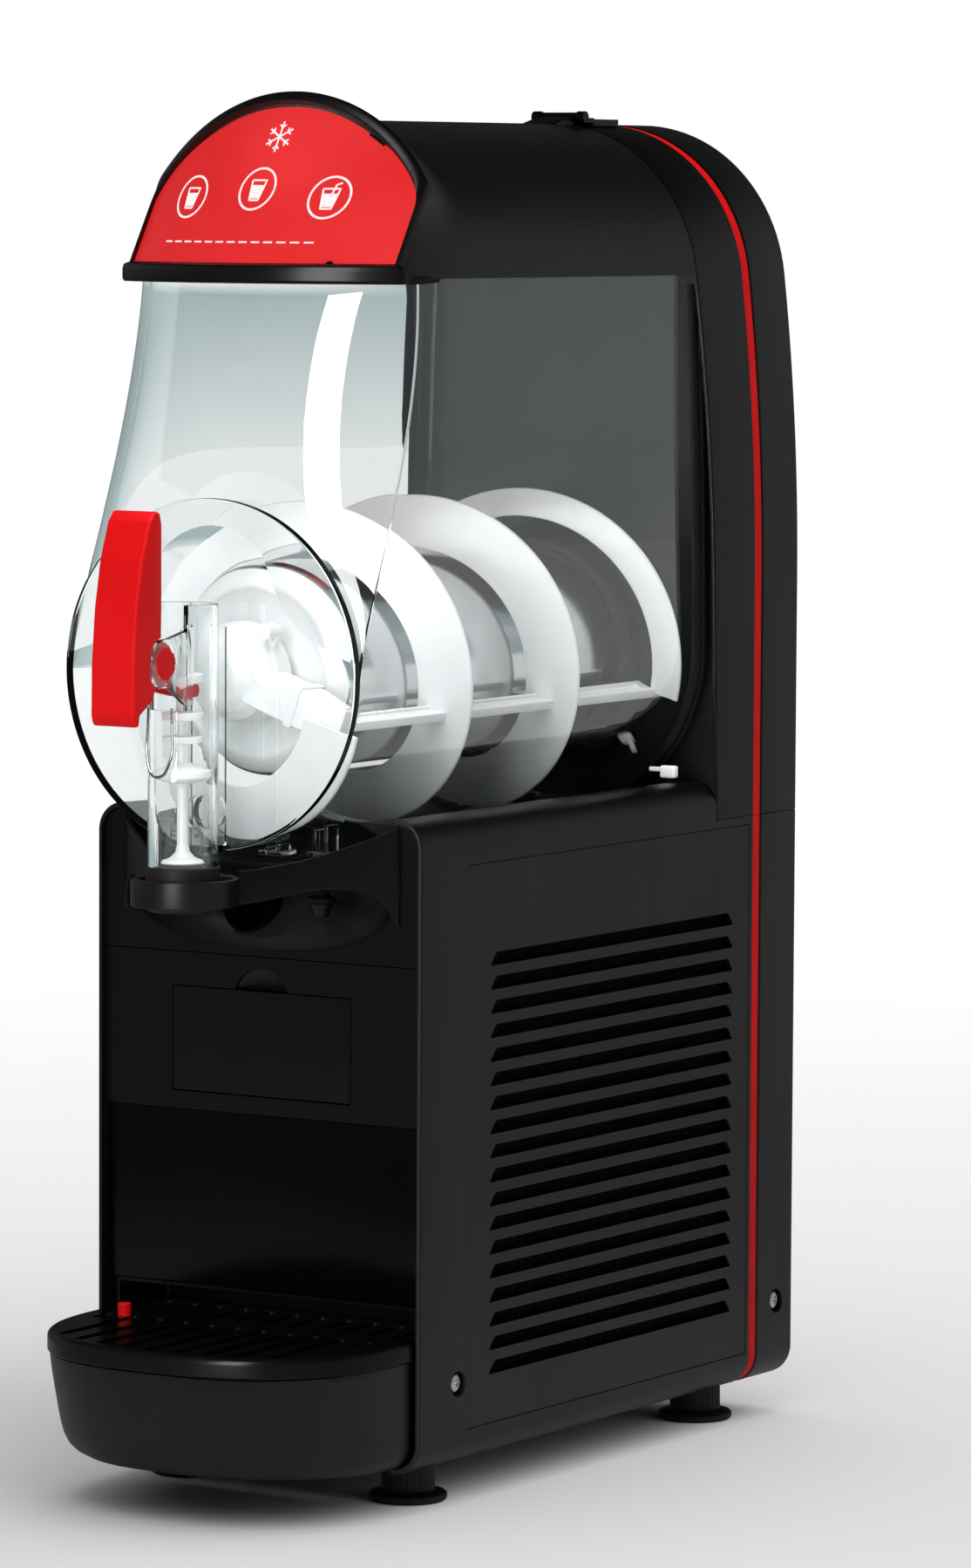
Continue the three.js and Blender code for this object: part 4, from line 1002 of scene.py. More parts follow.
def rear_lower():
    y0 = TRIM_Y[1] + 0.6
    outer = rear_solid(lower_line, y0, BACK_Y, REAR_ROUND)
    inner = prism("xz", lower_line(3.0, 20.0), y0 - 10, BACK_Y - 3.0)
    (ix0, ix1), _, (iz0, iz1) = span("power_inlet")
    inlet = prism("xz", rounded_rectangle(ix0 - 0.4, ix1 + 0.4, iz0 - 0.4, iz1 + 0.4, 1.5), 440, 470)
    feet = []
    for name in ("rear_left", "rear_right"):
        (fx0, fx1), (fy0, fy1), _ = span(f"foot_{name}")
        feet.append(rod("z", 17.2, 10, 40, ((fx0 + fx1) / 2, (fy0 + fy1) / 2, 0)))
    made = cut(outer, inner, rear_slots(84, 130, 24, 9, 4.4, 9), inlet, *feet)
    for flip in (False, True):
        boss, cup = screw_cup(SCREW["rear"])
        shaft = rod("x", 2.8, 100, 125, (0, SCREW["rear"], SCREW["z"]))
        tools = [boss, cup, shaft]
        if flip:
            sources = tools
            tools = [mirrored(tool) for tool in sources]
            for tool in sources:
                bpy.data.objects.remove(tool)
        fuse(made, tools[0])
        cut(made, *tools[1:])
    return made


stand_for(rear_upper(), "rear_cap_upper", "rear_cover_upper", angle=35)
stand_for(rear_lower(), "rear_cap_lower", "rear_cover_lower", angle=35)


# ---------------------------------------------------------------- hood
HOOD_WALL = 2.6
RIM = 8.0
FOOT_X = 100.6
SHEET_X = 97.7
CHEEK_SET = 5.0


def on_circle(centre, radius, degrees):
    """(x, z) on a circle round a point of the middle plane."""
    a = math.radians(degrees)
    return radius * math.cos(a), centre + radius * math.sin(a)


def visor_angle(t):
    return mix(2, 178, t)


def cheek(t):
    """1 along the visor's feet, where its front turns round to the side, and 0 along its arch."""
    return 1 - smooth((min(t, 1 - t) - 0.145) / 0.04)


def held_in(point, limit):
    """A point of the visor's outline, held inside the upright lines of its feet."""
    x, z = point
    over = abs(x) - limit
    inside = abs(x) - math.log1p(math.exp(over / 0.7)) * 0.7
    return math.copysign(inside, x), z


def hood_ring(v, depth, count=96):
    """One arched line of the hood; v runs from the straight part (0) to the visor's rim (1)."""
    line = []
    flare = v ** 2.2
    for t in steps(count):
        body = on_circle(ARCH["centre"], ARCH["radius"] - depth, mix(ARCH["join"], 180 - ARCH["join"], t))
        rim = held_in(on_circle(VISOR["centre"], VISOR["radius"] - depth, visor_angle(t)), FOOT_X - depth)
        y = mix(HOOD_STRAIGHT_Y, visor_y(*rim) + CHEEK_SET * cheek(t) * v ** 3, v)
        line.append((mix(body[0], rim[0], flare), y, mix(body[1], rim[1], flare)))
    return line


def rim_line(depth, push, side_push, count=96):
    """A line round the rim: depth is the share of its width, the pushes are behind its front plane."""
    line = []
    for t in steps(count):
        outside = held_in(on_circle(VISOR["centre"], VISOR["radius"], visor_angle(t)), FOOT_X)
        inside = held_in(on_circle(VISOR["centre"], VISOR["radius"] - RIM, visor_angle(t)), SHEET_X)
        x, z = mix(outside[0], inside[0], depth), mix(outside[1], inside[1], depth)
        line.append((x, visor_y(x, z) + mix(push, side_push, cheek(t)), z))
    return line


def hood():
    places = [0.0, 0.15, 0.3, 0.42, 0.54, 0.64, 0.74, 0.82, 0.9, 0.96]
    outer, inner = (
        [[(x, HOOD_BACK, z) for x, _, z in hood_ring(0, depth)], *[hood_ring(v, depth) for v in places]]
        for depth in (0, HOOD_WALL)
    )
    # The rim's nose goes out over a small round, then back inside to the sheet's seat: rim_line's numbers.
    nose = [
        (0.0, 1.6, 5.6), (0.05, 0.5, 4.0), (0.12, 0.0, 2.6), (0.4, 0.0, 1.1),
        (0.6, 0.1, 0.3), (0.7, 0.7, 0.0), (0.8, 2.6, 0.5), (1.0, 5.4, 5.4),
    ]
    outer += [rim_line(depth, push, side) for depth, push, side in nose]
    inner += [rim_line(mix(0.5, 1.0, k / (len(nose) - 1)), 9.5, 9.9) for k in range(len(nose))]
    return shell(outer, inner)


# (inwards, z) round the brim's section, at the front and at the hood's sides
BRIM_FRONT = [
    (0, 764.6), (-3.2, 763.4), (-4, 760.2), (-4, 754.6), (-3.0, 752.6), (3, 752.6), (8, 758), (8, 764.6),
]
BRIM_SIDE = [
    (0.5, 758), (0.0, 757.6), (-0.3, 756.4), (-0.3, 754), (0, 752.7), (0.9, 752.7), (1.6, 754), (1.6, 758),
]


def brim():
    """The bowed bar that closes the visor at the bottom; it fades into a lip along the hood's sides."""
    side = [hood_ring(v, 0)[0][:2] for v in (0.5, 0.6, 0.7, 0.78, 0.84, 0.9, 0.94)]
    front = [(x, visor_y(x, VISOR["base"])) for x in (FOOT_X, *range(96, 0, -4))]
    line = fillet(mirror_line(side + front + [(0.01, VISOR["front"])]), 4.0, 5, closed=False)
    front_section = fillet(BRIM_FRONT, [0.6, 1.6, 1.8, 1.0, 1.0, 1.0, 0.5, 0.5], 4)
    side_section = fillet(BRIM_SIDE, [0.2, 0.5, 0.5, 0.5, 0.3, 0.3, 0.3, 0.2], 4)
    rings = []
    for i, (x, y) in enumerate(line):
        ahead = Vector(line[min(i + 1, len(line) - 1)]) - Vector(line[max(i - 1, 0)])
        ahead.normalize()
        share = smooth((y - 3) / 9)  # 0 at the front and 1 along the sides
        sink = 0.8 * smooth((y - side[0][1] + 16) / 16)  # the lip's ends sink into the hood
        ring = []
        for (a, za), (b, zb) in zip(front_section, side_section):
            inward = mix(a, b, share) + sink
            ring.append((x + ahead.y * inward, y - ahead.x * inward, mix(za, zb, share) + 1.5 * sink))
        rings.append(ring)
    return loft(rings)


def hood_foot():
    """The pads and the knuckle that carry the hood."""
    y, z = joint_at("hood_hinge")
    half = 13
    side = fillet([(322, 850), (339, 850), (y + 2, 856.6), (y - 2, 858.8), (322, 853.3)], 1.2)
    arm = prism("yz", side, -half, half, 0.6, 0.6)
    knuckle = rod("x", 3.0, -half, half, (0, y, z), 0.5)
    return cut(fuse(arm, knuckle), rod("x", 2.2, -30, 30, (0, y, z)))


stand_for(hood(), "hood_shell", "hood", angle=32, material=HOOD_BLACK)
dress(brim(), "hood_brim", "hood", angle=40, material=RIM_BLACK)
dress(hood_foot(), "hood_knuckle", "hood", angle=35)

SHEET = {"radius": 108.4, "centre": 752.0, "half": 97.4, "bottom": 765.0, "set": 4.2}
TAB = {"x": (57.0, 69.0), "drop": 1.2}
NOTCH = {"x": (58, 62), "rise": 1.6}


def sheet_top(x):
    """The red sheet's upper edge at x, a little fuller towards its corners, with the step of its tab."""
    tab = TAB["drop"] if TAB["x"][0] <= x <= TAB["x"][1] else 0.0
    radius = SHEET["radius"] + 2.6 * smooth((abs(x) - 50) / 47) - tab
    return SHEET["centre"] + math.sqrt(radius ** 2 - x * x)


def glow_sheet():
    outer, inner = [], []
    edges = [x + side for x in TAB["x"] for side in (-0.02, 0.02)]
    places = sorted([mix(-SHEET["half"], SHEET["half"], t) for t in steps(120)] + edges)
    for x in places:
        low = SHEET["bottom"] + (NOTCH["rise"] if NOTCH["x"][0] < x < NOTCH["x"][1] else 0.0)
        heights = [mix(low, sheet_top(x), s) for s in steps(14)]
        outer.append([(x, visor_y(x, z) + SHEET["set"], z) for z in heights])
        inner.append([(x, visor_y(x, z) + SHEET["set"] + 2.0, z) for z in heights])
    return shell(outer, inner)


stand_for(glow_sheet(), "glow_sheet", "light_panel", angle=40)


def ribbon(points, width, closed=False):
    """A flat printed line on the red sheet through (x, z) points."""
    line = [Vector(p) for p in points]
    outer, inner = [], []
    total = len(line)
    for i, p in enumerate(line):
        before = line[i - 1] if (i or closed) else p
        after = line[(i + 1) % total] if (i < total - 1 or closed) else p
        along = (after - before).normalized()
        side = Vector((-along.y, along.x)) * width / 2
        ends = [p - side, p + side]
        outer.append([(q.x, visor_y(q.x, q.y) + SHEET["set"] - 0.25, q.y) for q in ends])
        inner.append([(q.x, visor_y(q.x, q.y) + SHEET["set"] + 0.1, q.y) for q in ends])
    if closed:
        outer.append(outer[0])
        inner.append(inner[0])
    return shell(outer, inner)


def ring_line(cx, cz, radius, count=56):
    return arc(cx, cz, radius, 0, 360, count)[:-1]


def dense(points, count=8):
    made = []
    for a, b in zip(points, points[1:]):
        made += [(mix(a[0], b[0], i / count), mix(a[1], b[1], i / count)) for i in range(count)]
    return made + [points[-1]]


def cup_picture(cx, cz, size, straw):
    """A plain tumbler in a ring."""
    cup = [(-0.42, 0.42), (-0.26, -0.55), (0.26, -0.55), (0.42, 0.42), (-0.42, 0.42)]
    lines = [ribbon(ring_line(cx, cz, size), 1.3, True)]
    lines.append(ribbon(dense([(cx + a * size, cz + b * size) for a, b in cup], 6), 1.1))
    for level in (0.1, -0.06, -0.22, -0.38):
        half = mix(0.26, 0.36, (level + 0.55) / 0.65)
        fill = [(cx - half * size, cz + level * size), (cx + half * size, cz + level * size)]
        lines.append(ribbon(dense(fill, 6), 0.17 * size))
    if straw:
        stick = [(-0.02, -0.3), (0.18, 0.62), (0.42, 0.7)]
        lines.append(ribbon(dense([(cx + a * size, cz + b * size) for a, b in stick], 5), 1.0))
    return lines


def flake_picture(cx, cz, size):
    """A plain six-armed snow crystal."""
    lines = []
    for k in range(3):
        a = math.pi * k / 3 + math.pi / 6
        c, s = math.cos(a), math.sin(a)
        lines.append(ribbon(dense([(cx - c * size, cz - s * size), (cx + c * size, cz + s * size)], 8), 1.1))
        for end in (-1, 1):
            for turn in (-0.9, 0.9):
                bx, bz = cx + end * c * size * 0.6, cz + end * s * size * 0.6
                ux, uz = math.cos(a + turn) * end, math.sin(a + turn) * end
                arm = [(bx, bz), (bx + ux * size * 0.3, bz + uz * size * 0.3)]
                lines.append(ribbon(dense(arm, 3), 0.9))
    return lines


prints = flake_picture(-1, 842, 9.4)
for cx, cz, straw in ((-57, 805, False), (-4, 810, False), (47, 805, True)):
    prints += cup_picture(cx, cz, 12.6, straw)
DASH = {"z": 777.6, "length": 6, "pitch": 9, "first": -67, "last": 50}
for x in range(DASH["first"], DASH["last"], DASH["pitch"]):
    prints.append(ribbon(dense([(x, DASH["z"]), (x + DASH["length"], DASH["z"])], 4), 1.0))
dress(gather(*prints), "sheet_print", "light_panel", material=PRINT_WHITE, angle=40)


# ---------------------------------------------------------------- bowl
def bowl_plan(z, depth, back):
    """The bowl's plan at a height: its walls lean in and its front leans back towards the rim."""
    if z >= AXIS_Z:
        t = clamp01((z - AXIS_Z) / (BOWL_TOP - AXIS_Z))
        half = mix(BOWL_RADIUS, BOWL_TOP_HALF, t * t) - depth
        corner = -49 + 71 * math.sin(math.pi / 2 * t) ** 1.25 + depth
        centre = -49 + 39 * clamp01((t - 0.3) / 0.7) ** 1.3 + depth
    else:
        half = math.sqrt(max(1.0, (BOWL_RADIUS - depth) ** 2 - (AXIS_Z - z) ** 2))
        corner = centre = -49 + depth
    line = []
    bend = 0.975  # 1 would turn the front into the sides as a full ellipse does
    for t in steps(44):
        s = math.cos(math.pi * t)
        bow = (1 - math.sqrt(1 - bend * s * s)) / (1 - math.sqrt(1 - bend))
        line.append((half * s, mix(centre, corner, bow)))
    # points close behind the corner keep its shading off the flat side
    beside = [(half, back), (half, min(back - 1, corner + 6)), (half, min(back - 1, corner + 0.8))]
    return [(x, y, z) for x, y in beside + line + [(-x, y) for x, y in reversed(beside)]]


def bowl_solid(depth, back, top):
    under = [AXIS_Z - (BOWL_RADIUS - depth) * math.cos(math.radians(d)) for d in range(1, 90, 4)]
    over = [AXIS_Z + (BOWL_TOP - AXIS_Z) * t for t in steps(32)]
    over[-1] = top
    return loft([bowl_plan(z, depth, back) for z in under + over])


def bowl():
    back = span("bowl")[1][1]
    body = cut(bowl_solid(0, back, BOWL_TOP), bowl_solid(3.0, back + 10, BOWL_TOP + 5))
    disc = rod("y", BOWL_RADIUS, -53, -47, (0, 0, AXIS_Z), 1.4, 128)
    tower = rod("z", 21.5, 388, 560, (0, TOWER_Y, 0), 1.0, 96)
    bridge = cut(
        block(-13.2, 13.2, TOWER_Y, -50, 408, 545, 0, 0),
        block(-10.9, 10.9, TOWER_Y - 5, -53, 412, 560, 0, 0),
    )
    side = [(-72, 553), (-100, 545), (-121, 540.6), (-133, 515), (-118, 511.5), (-100, 500), (-72, 500)]
    side = fillet(side, 3)
    cheeks = []
    for x0, x1 in ((13, 17), (-17, -13)):
        cheeks.append(fuse(
            prism("yz", side, x0, x1, 0.6, 0.6, 2),
            rod("x", 15, x0, x1, (0, PIVOT["y"], PIVOT["z"]), 0.6, 64),
        ))
    body = fuse(body, disc, tower, bridge, *cheeks)
    return cut(
        body,
        rod("z", 18, 380, 570, (0, TOWER_Y, 0), 0, 96),
        block(-12.6, 12.6, -150, TOWER_Y, 496, 600, 0, 0),
        rod("x", 10, -30, 30, (0, PIVOT["y"], PIVOT["z"]), 0, 64),
        rod("y", 10.6, TOWER_Y, -40, (0, 0, 432), 0, 64),
    )


def bowl_rests():
    """The clear lugs under the bowl that sit on the deck."""
    rests = []
    for x0, y0 in ((14, -20), (44, -12), (-34, -20), (-60, -12)):
        z = AXIS_Z - math.sqrt(BOWL_RADIUS ** 2 - (abs(x0) + 12) ** 2)
        rests.append(block(x0, x0 + 18, y0, y0 + 16, 403.2, 406.2, 0.8))
        rests.append(block(x0 + 12, x0 + 15, y0 + 2, y0 + 14, 405.8, z - 0.6, 0.4))
        rests.append(block(x0 + 4, x0 + 6.4, y0 + 2, y0 + 14, 405.8, z - 2.4, 0.4))
    return gather(*rests)


stand_for(bowl(), "bowl_clear", "bowl", angle=28)
dress(bowl_rests(), "bowl_rests", "bowl", angle=35)
latch = fuse(block(93, 104, 325, 331, 430.6, 438.6, 1.4), block(84, 95, 326.5, 329.5, 434.4, 437.4, 0.8))
dress(latch, "bowl_latch", "top_deck", slot="white_plastic")


def gasket():
    def line(grow):
        wall = []
        for t in steps(12):
            z = mix(750, AXIS_Z, t)
            share = clamp01((z - AXIS_Z) / (BOWL_TOP - AXIS_Z))
            x = min(mix(BOWL_RADIUS, BOWL_TOP_HALF, share * share) + grow, half_width(z, 2.6) - 0.4)
            wall.append((x, z))
        under = arc(0, AXIS_Z, BOWL_RADIUS + grow, 0, -180, 60)[1:-1]
        return wall + under + [(-x, z) for x, z in reversed(wall)]

    # (y, how far it stands out from the bowl)
    section = [
        (351.7, 6.5), (345.2, 6.5), (344.5, 5.8), (344.5, 4.6), (340.2, 4.0), (339.2, 3.0), (339.2, 1.6),
    ]
    outer = [[(x, y, z) for x, z in line(grow)] for y, grow in section]
    inner = [[(x, y, z) for x, z in line(0.5)] for y, _ in section]
    return shell(outer, inner)


stand_for(gasket(), "bowl_seal", "bowl_gasket", angle=40)


# ---------------------------------------------------------------- tap
def piston():
    profile = [
        (0, 402), (12.6, 402), (13.5, 402.8), (12.4, 404.4), (7.4, 406.4), (4.6, 409.5), (3.6, 414),
        (3.6, 448), (5, 450.8), (15, 453), (17.2, 454.8), (17.2, 459), (9, 461), (4.6, 464), (4.6, 475.5),
        (12.5, 475.5), (12.5, 479.5), (4.6, 479.5), (4.6, 489.5), (13, 489.5), (13, 494), (4.4, 494),
        (4.4, 511.6), (12.5, 511.6), (12.5, 517), (0, 517),
    ]
    return lathe("z", profile, (0, TOWER_Y, 0), 72, 0.5)


stand_for(piston(), "piston", "tap_piston", angle=35)


def tap_lever():
    plate = [
        (-131, 618), (-136.5, 612), (-144.5, 590), (-150.5, 560), (-153.6, 526), (-154, 495), (-152, 489.5),
        (-147.5, 489.5), (-146.5, 496), (-133.5, 504), (-130, 511), (-124.5, 540), (-124, 560), (-124, 610),
        (-126, 617),
    ]
    plate = fillet(plate, [3, 4, 60, 80, 60, 8, 2.4, 2, 3, 4, 6, 20, 20, 3, 2.5], 6)
    body = prism("yz", plate, -16, 16, 2.1, 2.1, 6)
    high_pocket = [
        (-127.5, 606), (-133, 606), (-140, 588), (-145.6, 560), (-148.4, 541), (-110, 541), (-110, 606),
    ]
    low_pocket = [(-149.2, 508), (-149.2, 494), (-140, 494), (-118, 494), (-118, 508)]
    pivot = (0, PIVOT["y"], PIVOT["z"])
    tongue = fuse(
        block(-11.6, 11.6, -150, PIVOT["y"], 516, 541, 0.8, 0.8),
        rod("x", 13.2, -11.6, 11.6, pivot, 0.8, 64),
    )
    prong = [
        (-114, 531), (-103, 521), (-94.5, 511), (-80, 511),
        (-78, 503.6), (-82, 503.4), (-100, 507), (-114, 517),
    ]
    prongs = []
    for x0, x1 in ((5.2, 9.4), (-9.4, -5.2)):
        tip = rod("x", 4, x0, x1, (0, TOWER_Y, 507.3), 0.4)
        prongs.append(fuse(prism("yz", fillet(prong, 2), x0, x1, 0.5, 0.5, 2), tip))
    body = cut(
        body,
        prism("yz", fillet(high_pocket, 2), -12.6, 12.6, 1, 1, 2),
        prism("yz", fillet(low_pocket, 1.5), -12.6, 12.6, 1, 1, 2),
        rod("x", 16.5, 11.9, 22, pivot, 0, 64),
        rod("x", 16.5, -22, -11.9, pivot, 0, 64),
    )
    return fuse(body, tongue, rod("x", 9.8, -17, 17, pivot, 0.6, 64), *prongs)


stand_for(tap_lever(), "tap_lever", "tap_handle", angle=35)
wire_half = [
    (8.6, -103.8, 498), (8.9, -104, 485), (9.4, -104.6, 472), (7.6, -105.6, 464), (4.6, -106.4, 458),
]
wire = spline([*wire_half, (0, -107, 456), *[(-x, y, z) for x, y, z in reversed(wire_half)]], 8)
stand_for(tube(wire, 1.0, 14), "spring_wire", "return_spring", angle=60)


# ---------------------------------------------------------------- auger, drum and shaft
AUGER = {
    "outer": 102.0, "inner": 69.0, "rear_inner": 84.0, "pitch": 125.0, "phase": 334.0, "thick": 3.4,
    "lean": 11.0, "end_lean": 6.5, "rail": -20.0, "turns": 3.0,
}


def blade():
    a = AUGER
    rings = []
    for t in steps(360):
        degrees = a["rail"] + t * a["turns"] * 360
        y = a["phase"] - a["pitch"] * degrees / 360
        low = mix(a["inner"], a["rear_inner"], clamp01((y - 268) / 32))
        lean = mix(a["lean"], a["end_lean"], smooth((t - 0.94) / 0.06))
        back = lean * (a["outer"] - low) / (a["outer"] - a["inner"])
        angle = math.radians(degrees)
        c, s = math.cos(angle), math.sin(angle)
        high, thick = a["outer"], a["thick"]
        line = [(high, 0), (low, -back), (low, -back - thick), (high, -thick)]
        line = fillet(line, [1.5, 1.2, 1.2, 1.5], 3)
        rings.append([(r * c, y + dy, AXIS_Z + r * s) for r, dy in line])
    return loft(rings)


def turned_to_rail(obj):
    """Turns a solid made level at the right until it points along the auger's rail."""
    angle = math.radians(AUGER["rail"])
    c, s = math.cos(angle), math.sin(angle)
    for vertex in obj.data.vertices:
        x, z = vertex.co.x, vertex.co.z - AXIS_Z * MM
        vertex.co.x, vertex.co.z = x * c - z * s, x * s + z * c + AXIS_Z * MM
    return obj


def auger():
    rail = turned_to_rail(block(75, 88, -30, 331, AXIS_Z - 3, AXIS_Z + 3, 0.8, 0.8))
    tip = turned_to_rail(block(84, 88, 326, 342, AXIS_Z - 3, AXIS_Z + 3, 0.8, 0.8))
    groove = turned_to_rail(block(78, 85, -18, 320, AXIS_Z + 1.6, AXIS_Z + 9, 0.6, 0.4))
    arm = fillet([(0, -34), (60, -34), (88, -31), (88, -21), (60, -12), (0, -8)], [0, 20, 1, 1, 10, 0], 4)
    beam = turned_to_rail(prism("xy", arm, AXIS_Z - 12, AXIS_Z + 12, 2, 2, 4))
    collar = turned_to_rail(block(50, 56, -34.6, -10, AXIS_Z - 13.2, AXIS_Z + 13.2, 1.0, 1.0))
    hub_line = [(0, -38), (9, -37.8), (17, -35.6), (24, -31.5), (29, -26), (31, -20), (31, -7), (0, -7)]
    hub = lathe("y", hub_line, (0, 0, AXIS_Z), 96, 1.0)
    stub = rod("y", 4.6, -30, -14, (27, 0, AXIS_Z + 26), 0.8, 40)
    web = fillet([(6, AXIS_Z + 12), (20, AXIS_Z + 6), (32, AXIS_Z + 24), (25, AXIS_Z + 33)], 3)
    bridge = prism("xz", web, -20, -15, 1, 1)
    return fuse(blade(), cut(rail, groove), tip, beam, collar, hub, stub, bridge)


stand_for(auger(), "auger_screw", "auger", angle=35)


def drum():
    profile = [
        (10, 2.2), (34, 2.8), (50, 4.0), (52, 4.0), (58, 5.4), (62.6, 7.4), (64, 10), (64, 351.6),
        (62.5, 351.6), (62.5, 11), (56, 6), (12, 3.5), (12, 351.6), (10, 351.6),
    ]
    return lathe("y", profile, (0, 0, AXIS_Z), 128, 0.8)


stand_for(drum(), "drum", "evaporator_drum", angle=35)
cap_line = [
    (13.5, 0.2), (30, 0.4), (48, 1.0), (49.5, 0.2), (51, -0.4), (54, 0.2), (57, 2.6), (60.6, 4.6), (62, 6.4),
    (61, 7.0), (50, 3.0), (13.5, 1.8),
]
dress(lathe("y", cap_line, (0, 0, AXIS_Z), 128), "drum_face", "evaporator_drum", slot="white_plastic")
seal_line = [
    (64.3, 312), (68.5, 312), (70, 313.5), (71.2, 317), (72, 320), (72, 329), (74, 332.5), (80, 336),
    (80, 351.8), (64.3, 351.8),
]
stand_for(lathe("y", seal_line, (0, 0, AXIS_Z), 128, 0.8), "drum_collar", "drum_seal", angle=35)
shaft_line = [
    (0, -21.6), (7.2, -21.6), (8, -20.8), (8, -6.6), (13, -6.6), (13, -3), (8, -3), (8, 392), (0, 392),
]
stand_for(lathe("y", shaft_line, (0, 0, AXIS_Z), 72), "shaft", "drive_shaft", angle=35)


# ---------------------------------------------------------------- drip tray, grille and float
TRAY = {"half": 117.0, "depth": 123.0, "power": 2.65, "bottom": 27.0, "rim": 95.4, "top": 108.4}
GRILLE = {
    "pitch": 19.5, "slot": 7.6, "margin": 7.0, "end": -17.5, "outer": -35.0, "rear0": 6.0, "rear1": 48.0,
    "edge": 4.2,
}
FLOAT_AT = [sum(span("float_indicator")[i]) / 2 for i in (0, 1)]


def tray_plan(depth, count=96, back=-1.6, side_depth=None):
    """The tray's plan inside its outline; side_depth is the inset where it meets the cabinet."""
    line = []
    power = 2 / TRAY["power"]
    side_depth = depth if side_depth is None else side_depth
    for t in steps(count):
        c, s = math.cos(math.pi * t), math.sin(math.pi * t)
        d = mix(side_depth, depth, smooth(s * 1.15))
        x = (TRAY["half"] - d) * math.copysign(abs(c) ** power, c)
        line.append((x, back - (TRAY["depth"] + back - d) * abs(s) ** power))
    return line


def corner_depth(z, radius=18.0):
    """How far the tray's sides are inside the cabinet's rounded bottom corner."""
    over = max(0.0, TRAY["bottom"] + radius - z)
    return 1.6 + radius - math.sqrt(max(0.0, radius ** 2 - min(radius, over) ** 2))


def tray():
    # (inset, height above the tray's lowest point)
    outside = [
        (36, 1.6), (29, 2.0), (23, 3.4), (18.5, 6.0), (15, 9.6), (12.2, 15), (9.8, 22), (7.6, 31), (5.2, 43),
        (3.0, 55), (1.7, 64), (1.5, 67.4), (2.0, TRAY["rim"] - 0.4 - TRAY["bottom"]),
    ]
    inside = [(42, 5), (26, 8), (19, 13), (14.5, 20), (9, 40), (5, 69.4)]

    def ring(depth, rise, wall=0.0):
        z = TRAY["bottom"] + rise
        side = min(depth, corner_depth(z - wall) + wall)
        return [(x, y, z) for x, y in tray_plan(depth, side_depth=side)]

    outer = loft([ring(*pair) for pair in outside])
    inner = loft([ring(*pair, wall=3.4) for pair in inside])
    rim = TRAY["rim"]
    wing = cut(
        block(-109, 109, -4, 58, 52, rim - 0.4, 0, 0),
        block(-106, 106, -8, 55, 55, rim + 5, 0, 0),
    )
    passage = block(-100, 100, -12, 10, 55, rim + 5, 0, 0)
    post = rod("z", 6, TRAY["bottom"] + 4, 59.7, (*FLOAT_AT, 0), 0.4)
    return fuse(cut(fuse(cut(outer, inner), wing), passage), post)


def tray_grille():
    rim, top = TRAY["rim"], TRAY["top"]
    edge = GRILLE["edge"]
    rings = [(0.8, rim), (0.2, rim + 0.6), (0, rim + 1.4), (0, top - edge)]
    for t in steps(6)[1:]:
        a = t * math.pi / 2
        rings.append((edge * (1 - math.cos(a)), top - edge * (1 - math.sin(a))))
    skirt = loft([[(x, y, z) for x, y in tray_plan(depth)] for depth, z in rings])
    hollow = prism("xy", tray_plan(3.2), rim - 5, top - 3.4)
    joint = block(-108, 108, -10, 2, rim - 5, top - 3.4, 0, 0)
    rear = block(-108.5, 108.5, -1.0, 57, top - 3.4, top - 0.8, 0, 0)
    skirt = fuse(cut(skirt, hollow, joint), rear)
    seam = block(-130, 130, -2.4, -1.4, top - 0.7, top + 4, 0, 0)

    def reach(x):
        power = TRAY["power"]
        return GRILLE["margin"] - TRAY["depth"] * (1 - (abs(x) / TRAY["half"]) ** power) ** (1 / power)

    slots = []
    for i in range(11):
        x = (i - 5) * GRILLE["pitch"]
        front = GRILLE["outer"] if abs(i - 5) == 5 else reach(x)
        w = GRILLE["slot"] / 2
        for y0, y1 in ((front, GRILLE["end"]), (GRILLE["rear0"], GRILLE["rear1"])):
            outline = rounded_rectangle(x - w, x + w, y0, y1, w * 0.98, 8)
            slots.append(prism("xy", outline, top - 10, top + 4))
    hole = rod("z", 4.9, top - 10, top + 4, (*FLOAT_AT, 0))
    return cut(skirt, gather(*slots), hole, seam)


stand_for(tray(), "drip_pan", "drip_tray", angle=35)
stand_for(tray_grille(), "grille", "tray_grille", bevel=0.4, angle=50, material=RIM_BLACK)
float_top = span("float_indicator")[2][1]
float_line = [(0, 60), (12, 60), (12, 70), (4.2, 74), (4.2, float_top), (0, float_top)]
stand_for(lathe("z", float_line, (*FLOAT_AT, 0), 48, 0.7), "float_pin", "float_indicator", angle=35)


# ---------------------------------------------------------------- carried-over CAD nodes
def soften(obj, width):
    """Welds the CAD faces and rounds their hard edges."""
    weld = obj.modifiers.new("weld", "WELD")
    weld.merge_threshold = 1e-5
    round_edges(obj, width, 32)


SOFT_EDGES = {"compressor": 1.5, "gear_motor": 1.0, "fan_motor": 1.0, "fan_shroud": 0.4, "condenser": 0.4}
replaced = {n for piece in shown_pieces() for n in piece.get("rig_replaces", [])}
for name, obj in frame["nodes"].items():
    if name in replaced:
        continue
    obj.data.materials.clear()
    obj.data.materials.append(MATERIAL[SLOT_OF[name]])
    obj.data.shade_smooth()
    soften(obj, SOFT_EDGES.get(name, 0.4))
    LIT.setdefault(SLOT_OF[name], []).append(obj)
pad = block(-20, 20, 356, 388, 851.6, 853.9, 0.8, 0.4)
dress(pad, "hinge_pad", "hinge_block")


# ---------------------------------------------------------------- studio
AWAY = (0.538, 0.843)  # a level direction, to the machine's right and back
